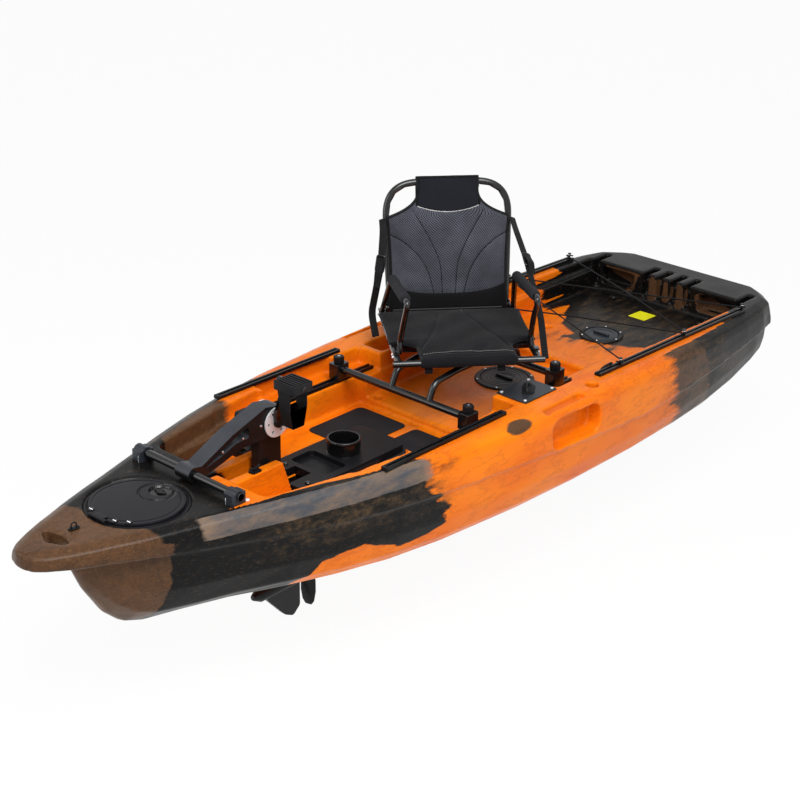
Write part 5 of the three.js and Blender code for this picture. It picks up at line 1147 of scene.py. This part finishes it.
def seatPadSurface(values):
    # Rows run forward over the pad and then around the front tube; columns go across, closer at the edges.
    # Thickness = (base + crown - seams + folds) * (1 - |y/w|^26)^(1/2), and the half width w falls towards
    # the front corners
    rear, (tubeX, tubeZ, radius) = values["rear"], values["tube"]
    flat = np.linspace(rear, tubeX, values["rows"])
    turn = np.linspace(0, math.radians(values["wrap"]), values["wrapRows"])[1:]
    inner = np.vstack([np.column_stack([flat, np.full(len(flat), values["low"])]),
                       np.column_stack([tubeX + radius * np.sin(turn), tubeZ + radius * np.cos(turn)])])
    out = np.vstack([np.tile([0.0, 1.0], (len(flat), 1)), np.column_stack([np.sin(turn), np.cos(turn)])])
    reach = np.concatenate([flat, tubeX + radius * turn])
    start, end, narrow, power = values["notch"]
    drawnIn, drawnOver = values["waist"]
    t = np.clip((reach - start) / (end - start), 0, 1)
    v = np.clip((reach - rear) / (values["front"] - rear), 0, 1)
    half = np.where(t > 0, narrow + (values["half"] - narrow) * (1 - t) ** power,
                    values["half"] - drawnIn * np.sin(np.pi * np.clip(v / drawnOver, 0, 1)))
    share = np.sin(np.linspace(-np.pi / 2, np.pi / 2, values["columns"]))
    y = half[:, None] * share
    x = np.repeat(reach[:, None], values["columns"], 1)
    crown = values["crown"] * (1 - np.abs(share) ** 3)[None] * (1 - np.abs(2 * v - 1) ** 3)[:, None]
    start, end, near, more, power = values["seam"]
    seamX = np.linspace(start, end, 30)
    seam = np.column_stack([seamX, near + more * ((seamX - start) / (end - start)) ** power])
    deep, wide = values["crease"]
    crease = deep * hump(nearPath(np.stack([x.ravel(), np.abs(y).ravel()], -1), seam), wide).reshape(x.shape)
    crossX, deep, wide = values["cross"]
    cross = deep * hump(x - crossX, wide)
    puckerX, high, wide = values["puckers"]
    puckers = high * np.sin(y / 9 + 2 * np.sin(x / 30)) * hump(x - puckerX, wide)
    slackFolds = 1.1 * np.sin(x / 23 + y / 41 + 1.3 * np.sin(y / 57)) + 0.7 * np.sin(x / 37 - y / 29)
    start, over, least = values["thinning"]
    thinned = np.where(reach > start, np.clip(1 - (reach - start) / over, least, 1), 1)[:, None]
    thick = values["thick"] * thinned + crown - crease - cross + puckers + slackFolds
    rearEdge = np.sqrt(1 - (1 - np.clip((reach - rear) / values["edge"], 0, 1)) ** 2)[:, None]
    lift = np.maximum(thick * np.sqrt(np.clip(1 - np.abs(share) ** 26, 0, 1))[None] * rearEdge, 0.2)
    upper = np.stack([inner[:, None, 0] + out[:, None, 0] * lift, y,
                      inner[:, None, 1] + out[:, None, 1] * lift], -1)
    under = np.stack([np.repeat(inner[:, :1], len(share), 1), y, np.repeat(inner[:, 1:], len(share), 1)], -1)
    grid = np.concatenate([upper, under[:, ::-1]], 1)
    piece = gridPiece("seatPad", seatPlace(grid), closeAcross=True, caps=True,
                      span=(reach[-1] - reach[0], 2 * values["half"] * 2))
    stitchX, reachOut = values["stitched"]
    row = int(np.argmin(np.abs(reach - stitchX)))
    return piece, seatPlace(upper[row][np.abs(y[row]) < reachOut] + [0, 0, 0.5])


pad, stitchPath = seatPadSurface(seatPad)
dress(pad, seatCloth, "seat", "seat_fabric", 60)
dress(stitches("seatStitches", stitchPath, 6.0, 3.6, 1.0), thread, "seat")

backPad = {"low": -6, "top": 446, "shoulder": 312, "foot": 205, "half": 212, "head": 106, "belly": 6,
           "headFrom": 40, "headPower": 2.7, "thick": 15, "depth": 11.5, "columns": 190, "rows": 190,
           "arc": (326, 20), "pouch": (48, 34), "seamTop": 332,
           "binding": {"seam": 1.7, "rim": 8.5, "side": 4.5},
           "seams": [[(121, 330), (88, 276), (55, 214), (30, 146), (22, 50)],
                     [(203, 254), (154, 226), (105, 180), (72, 124), (52, 50)]]}


def backPadSurface(values):
    # Height goes up the back; half width narrows above the shoulders as head + (half - head) * (1 - s)^2.7.
    # The front stands out by a crown, less a groove along each seam, plus a pouch at the foot
    low, top, shoulder, head = (values[key] for key in ("low", "top", "shoulder", "head"))
    up = np.linspace(low, top, values["rows"])
    up = np.sort(np.concatenate([up, [low + 1.5, top - 1.5]]))
    part = np.clip(up / shoulder, 0, 1)
    s = np.clip((up - shoulder) / (top - values["headFrom"] - shoulder), 0, 1)
    body = values["foot"] + (values["half"] - values["foot"]) * part - values["belly"] * np.sin(np.pi * part)
    half = np.where(up < shoulder, body, head + (values["half"] - head) * (1 - s) ** values["headPower"])
    share = np.sin(np.linspace(-np.pi / 2, np.pi / 2, values["columns"]))
    y, z = half[:, None] * share, np.repeat(up[:, None], values["columns"], 1)
    flat = np.stack([np.abs(y).ravel(), z.ravel()], -1)
    lines = [smoothRoute([(*point, 0) for point in path], 40)[:, :2] for path in values["seams"]]
    seam = np.min([nearPath(flat, line) for line in lines], 0).reshape(y.shape)
    rim = nearPath(flat, np.column_stack([half, up])).reshape(y.shape)
    rim = np.minimum(rim, np.minimum(top - z, z - low))
    arcHigh, arcMore = values["arc"]
    arc = arcHigh + arcMore * (y / head) ** 2
    pouchHigh, pouchMore = values["pouch"]
    pouchTop = pouchHigh + pouchMore * np.abs(y / values["foot"]) ** 3
    header = np.minimum(z - arc, head - 2 - np.abs(y))
    binding = values["binding"]
    side = binding["side"] - np.abs(np.abs(y) - head) - 99 * (z < arc - 2)
    dark = np.maximum.reduce([np.where(z < values["seamTop"], binding["seam"] - seam, -9),
                              binding["rim"] - rim, pouchTop - z, side])
    v = (z - low) / (top - low)
    crown = (1 - np.abs(share) ** 4)[None] * (1 - np.abs(2 * v - 1) ** 4)
    groove = (np.where(z < values["seamTop"] + 3, 2.6 * hump(seam, 5.5), 0) + 2.2 * hump(z - pouchTop, 4)
              + 1.6 * hump(z - arc, 3.5) * (np.abs(y) < head + 2))
    swell = 5 * hump(z - 20, 30) + 2.5 * hump(np.clip(seam - 26, -30, 60), 20) * (z > 60) * (z < 330)
    folds = 0.6 * np.sin(z / 15 + y / 34) + 0.5 * np.sin(y / 19 - z / 41)
    raised = 5 + values["thick"] * crown + swell * crown - groove + folds
    lift = np.maximum(raised * np.sqrt(np.clip(rim / 5, 0.05, 1)), 0.6)
    front = np.stack([values["depth"] + lift, y, z], -1)
    rear = np.stack([np.full_like(y, values["depth"]), y, z], -1)
    grid = backPlace(np.concatenate([front, rear[:, ::-1]], 1))
    piece = gridPiece("backPad", grid, closeAcross=True, caps=True, span=(top - low, 4 * values["half"]))
    for name, level in (("header", header), ("dark", dark)):
        withField(piece, name, np.concatenate([level, level[:, ::-1]], 1))
    piping = front[np.argmin(np.abs(z - arc), 0), np.arange(len(share))]
    piping = piping[np.abs(piping[:, 1]) < head]
    piping[:, 2] = arcHigh + arcMore * (piping[:, 1] / head) ** 2
    return piece, backPlace(piping + [0.2, 0, 0])


backCloth = panelFinish("backCloth", (67, 68, 76), (5, 5, 6), (12, 12, 14), (23, 24, 30), 165.0, 0.6)
panel, pipingPath = backPadSurface(backPad)
dress(panel, backCloth, "back", "back_panel", 60)
dress(tube("headerPiping", pipingPath, 1.1, 10, 0.3), thread, "back")

flapForm = {"line": [(14, 0, 405), (15.4, 0, 424), (13.5, 0, 437), (6, 0, 444), (-4, 0, 444), (-12, 0, 437),
                     (-14.2, 0, 422), (-13.4, 0, 390), (-12.6, 0, 350)],
            "half": 107, "count": 60, "ripple": (0.5, 17), "thick": 1.8, "aboutZ": 426.0, "span": (180, 440)}


def headerFlap(values):
    # A flap that goes over the top of the hoop and down behind it: one line, rippled across
    line = smoothRoute(values["line"], values["count"])
    across = np.linspace(-values["half"], values["half"], values["count"])
    high, wave = values["ripple"]
    x, y = np.broadcast_arrays(line[:, None, 0], across[None])
    outer = np.stack([x, y, line[:, None, 2] + high * np.sin(across / wave)[None]], -1)
    towards = unit(line - np.array([0, 0, values["aboutZ"]]))
    inner = outer - values["thick"] * towards[:, None] * np.array([1, 0, 1])
    grid = np.concatenate([outer, inner[:, ::-1]], 1)
    return gridPiece("headerFlap", backPlace(grid), closeAcross=True, caps=True, span=values["span"])


flap = dress(headerFlap(flapForm), headerCloth, "back", angle=60)

# Pipes of seat and back, armrests with their sleeves, and the bolts of the armrests
seatPipes = {"frame": [[(226, -247, 465), (226, 247, 465)], [(-225, -228, 465), (-225, 228, 465)],
                       [(-225, 228, 465), (226, 228, 465)], [(-225, -228, 465), (226, -228, 465)]],
             "radius": 11.2, "hoop": [(0, -201, 0), (0, -214, 426), (0, 214, 426), (0, 201, 0)],
             "hoopBend": 118,
             "arm": [(-220.6, 230.7, 462), (-118, 210, 632), (262, 208, 686), (192, 210, 596),
                     (152, 214, 520), (165.3, 218, 462)],
             "armBends": [20, 45, 28, 14], "armFrom": 470, "armRadius": 9.15,
             "sleeve": {"span": (0.06, 0.87), "length": 313, "radii": (10.5, 6.5), "end": 7,
                        "wrinkle": (0.25, 11)},
             "bolts": [(165.3, 241, 465), (146, 240, 466), (-214, 240, 466), (226, 245, 470)],
             "bolt": [(0, -3), (5, -3), (4.8, 0), (3, 2.2), (0, 2.6)]}


def sleevePiece(name, low, high, values):
    # A padded tube round the arm's straight leg: full radius, drawn in as a quarter round at both ends
    start, end = values["span"]
    length, small, more = values["length"], *values["radii"]
    share = np.linspace(start, end, 80)
    inside = (share - start) / (end - start) * length
    ending = np.minimum(np.minimum(inside, length - inside) / values["end"], 1)
    deep, wave = values["wrinkle"]
    radii = small + more * np.sqrt(np.clip(1 - (1 - ending) ** 2, 0, 1)) + deep * np.sin(inside / wave)
    return tube(name, seatPlace(low + (high - low) * share[:, None]), radii, 44, 0)


pipes = [tube("pipe", seatPlace(ends), seatPipes["radius"], 28, 1) for ends in seatPipes["frame"]]
seatFrame = joined("seatFrame", [softened("seat_frame", 0.7), *pipes])
dress(seatFrame, blackTube, "seat", "seat_frame")
hoopPath = backPlace(route(seatPipes["hoop"], seatPipes["hoopBend"], 22))
backHoop = joined("backHoop", [softened("back_frame", 0.7),
                               tube("hoop", hoopPath, seatPipes["radius"], 28, 1)])
dress(backHoop, blackTube, "back", "back_frame")
for side, name in bothSides:
    mirror = np.array([1, side, 1])
    corners = np.array(seatPipes["arm"], float) * mirror
    path = route(corners, seatPipes["armBends"], 9)
    path = path[path[:, 2] > seatPipes["armFrom"]]
    ends = np.vstack([path[0] + unit(path[0] - path[1]) * 4, path, path[-1] + unit(path[-1] - path[-2]) * 4])
    armHoop = joined(f"armHoop_{name}", [softened(f"armrest_{name}", 0.6),
                                         tube("hoop", seatPlace(ends), seatPipes["armRadius"], 26, 0)])
    dress(armHoop, blackTube, "seat", f"armrest_{name}")
    sleeve = sleevePiece(f"sleeve_{name}", corners[1], corners[2], seatPipes["sleeve"])
    dress(sleeve, sleeveFoam, "seat", f"armrest_sleeve_{name}", 60)
    bolts = [merged(placed(turned("bolt", seatPipes["bolt"], (0, 0, 0), "z", 16),
                           lambda points: seatPlace((points[:, [0, 2, 1]] + spot) * mirror)))
             for spot in seatPipes["bolts"]]
    dress(joined(f"seatBolts_{name}", bolts), shine, "seat")
print("seat made")

# Side straps: webbing from the back's shoulder to the seat, with a buckle and a loose tail each
straps = {
    "port": {"side": 1, "body": "seat", "bends": [(-272, 222.9, 782), (-110, 231, 723)],
             "path": [(-272, 222.9, 782), (-205, 224, 760), (-60, 234, 703), (150, 243, 585),
                      (226, 248.9, 466)]},
    "starboard": {"side": -1, "body": "back", "bends": None,
                  "path": [(-270, -222.9, 788), (-218, -226, 764), (-140, -242, 675), (-212, -264, 472),
                           (-150, -256, 410)]},
}
strapForm = {"band": (25, 3), "bend": 30, "lean": (0.85, 0.3, 0.4), "buckleOut": 3,
             "tail": [(-20, 3, 0), (4, 9, 0), (26, 15, -2), (44, 14, -12), (52, 18, -26)],
             "tailBand": (24, 2.4),
             "ring": (28, 13.5, 7, 3.4), "bars": (-9, 9), "bar": (13, 3.2),
             "hanging": {"hangingPort": 105, "hangingStarboard": -132},
             "hangingLine": [(214, 0, 453), (220, 1, 447), (222, 2, 438), (221, 2, 427)],
             "hangingBand": (26, 2.4)}


def buckleParts(centre, ahead, out, values):
    # A rounded ring of wire in the plane of the webbing, with two bars across it
    wide = np.cross(ahead, out)
    long, half, corner, wire = values["ring"]
    outline = roundedOutline(box((-long, long), (-half, half)), corner)
    ring = np.array([centre + ahead * a + wide * b for a, b in np.vstack([outline, outline[:2]])])
    half, thick = values["bar"]
    bars = [tube("buckleBar", [centre + ahead * a + wide * b for b in (-half, half)], thick, 14, 1)
            for a in values["bars"]]
    return [tube("buckleRing", ring, wire, 14, 0), *bars]


for name, values in straps.items():
    lean = np.array(strapForm["lean"]) * [1, values["side"], 1]
    path = smoothRoute(route(values["path"], strapForm["bend"], 8), 90)
    band = ribbon(f"sideStrap_{name}", seatPlace(path), *strapForm["band"], seatWay(lean))
    dress(band, webbing, None if values["bends"] else values["body"], f"side_strap_{name}", 60)
    if values["bends"]:
        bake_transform(band)
    before, middle, after = np.array(values["path"][1:4], float)
    centre = middle + [0, strapForm["buckleOut"] * values["side"], 0]
    ahead = unit(after - before)
    out = unit(lean - ahead * (ahead @ lean))
    parts = [placed(part, seatPlace) for part in buckleParts(centre, ahead, out, strapForm)]
    dress(joined(f"strapBuckle_{name}", parts), glossBlack, values["body"])
    tailLine = smoothRoute([centre + ahead * along + out * above + [0, 0, drop]
                            for along, above, drop in strapForm["tail"]], 40)
    tail = ribbon(f"strapTail_{name}", seatPlace(tailLine), *strapForm["tailBand"], seatWay(out))
    dress(tail, webbing, values["body"], angle=60)
for label, y in strapForm["hanging"].items():
    line = smoothRoute(np.array(strapForm["hangingLine"], float) + [0, y, 0], 24)
    hanging = ribbon(label, seatPlace(line), *strapForm["hangingBand"], seatWay([1, 0, 0]))
    dress(hanging, webbing, "seat", angle=60)

# Shock cord in two runs over the tank well, held at the track posts
cords = {"runs": {"lower": (1, 0), "upper": (-1, 8)}, "places": (-560, -945, -1328), "out": 414,
         "tail": (13, 387), "bends": [12, 60, 19, 60, 12], "radius": 2.6, "deck": (360, 24, -400, 1200),
         "above": (0.3, 11, 7),
         "glint": [(0, 0), (5.6, 0), (5.4, 1.8), (3, 3), (0, 3.2)], "glintAt": (396, 5.6)}


def cordHigh(x):
    # The deck falls evenly from its start; on it lie the gap, the track and the post up to its groove
    level, fall, start, over = cords["deck"]
    return level - fall * max(0.0, start - x) / over + sum(cords["above"])


def cordPath(first, rise, values):
    # From post to post and from side to side, over the middle between them, with a short tail at each end
    front, middle, rear = values["places"]
    out, (tailLong, tailOut) = values["out"], values["tail"]
    stops = [(front + tailLong, first * tailOut, 0), (front, first * out, 0), ((front + middle) / 2, 0, rise),
             (middle, -first * out, 0), ((middle + rear) / 2, 0, rise), (rear, first * out, 0),
             (rear - tailLong, first * tailOut, 0)]
    # The tails lie level with their posts
    points = [(x, y, cordHigh(min(max(x, rear), front)) + more) for x, y, more in stops]
    return route(points, values["bends"], 10)


for name, (first, rise) in cords["runs"].items():
    cord = tube(f"shockCord_{name}", cordPath(first, rise, cords), cords["radius"], 14, 0.6)
    dress(cord, elastic, "hull", f"shock_cord_{name}", 60)
glintY, glintUp = cords["glintAt"]
glints = [turned("glint", cords["glint"], (x, side * glintY, cordHigh(x) + glintUp), around=16)
          for x in cords["places"] for side in (1, -1)]
dress(joined("cordGlints", glints), shine, "hull")
print("straps and cords made")

# Room
room = {"floor": -276, "reach": 60000, "floorWhite": 0.86, "floorRough": 0.9, "floorSeen": 0.95, "world": 0.3,
        "lamps": {"key": ((1.6, 2.4, 4.2), 306.0, 3.2), "fill": ((4.2, -1.6, 2.2), 70.0, 3.0)},
        "aim": (0, 0, 0.2)}


def whiteWhenSeen(tree, output, shader, bright, share):
    # White for the camera, through glass and in reflections, the shader's own light elsewhere
    w = Wires(tree)
    rays = w.node("ShaderNodeLightPath").outputs
    clear = w.math("MAXIMUM", rays["Is Camera Ray"], rays["Is Transmission Ray"])
    seen = w.math("MAXIMUM", clear, rays["Is Glossy Ray"])
    kind = "Emission" if output.bl_idname == "ShaderNodeOutputMaterial" else "Background"
    white = w.node("ShaderNode" + kind, Strength=bright)
    blend = w.node("ShaderNodeMixShader", i0=w.times(seen, share), i1=shader, i2=white.outputs[0])
    w.out(blend.outputs[0], output.inputs["Surface"])


def makeRoom(values):
    # A white world, a pale floor that is white where it is seen, and two area lamps that face the boat
    world = scene.world or bpy.data.worlds.new("room")
    scene.world = world
    world.use_nodes = True
    tree = world.node_tree
    back = tree.nodes["Background"]
    back.inputs["Color"].default_value = (1, 1, 1, 1)
    back.inputs["Strength"].default_value = values["world"]
    whiteWhenSeen(tree, tree.nodes["World Output"], back.outputs[0], 1.0, 1.0)
    limits = (-values["reach"], values["reach"])
    floor = newPiece("floor", [(x, y, values["floor"]) for x, y in box(limits, limits)], [[0, 1, 2, 3]])
    white = values["floorWhite"]
    material, shader, w = newMaterial("paleFloor", Base_Color=(white, white, white, 1),
                                      Roughness=values["floorRough"])
    whiteWhenSeen(w.tree, w.tree.nodes["Material Output"], shader.outputs[0], 1.0, values["floorSeen"])
    floor.data.materials.append(material)
    for name, (place, power, size) in values["lamps"].items():
        lamp = bpy.data.lights.new(name, "AREA")
        lamp.energy, lamp.size = power, size
        light = linked(name, lamp)
        light.location = place
        light.rotation_euler = (Vector(values["aim"]) - Vector(place)).to_track_quat("-Z", "Y").to_euler()
    scene.view_settings.view_transform = "Standard"


makeRoom(room)
print("room set")
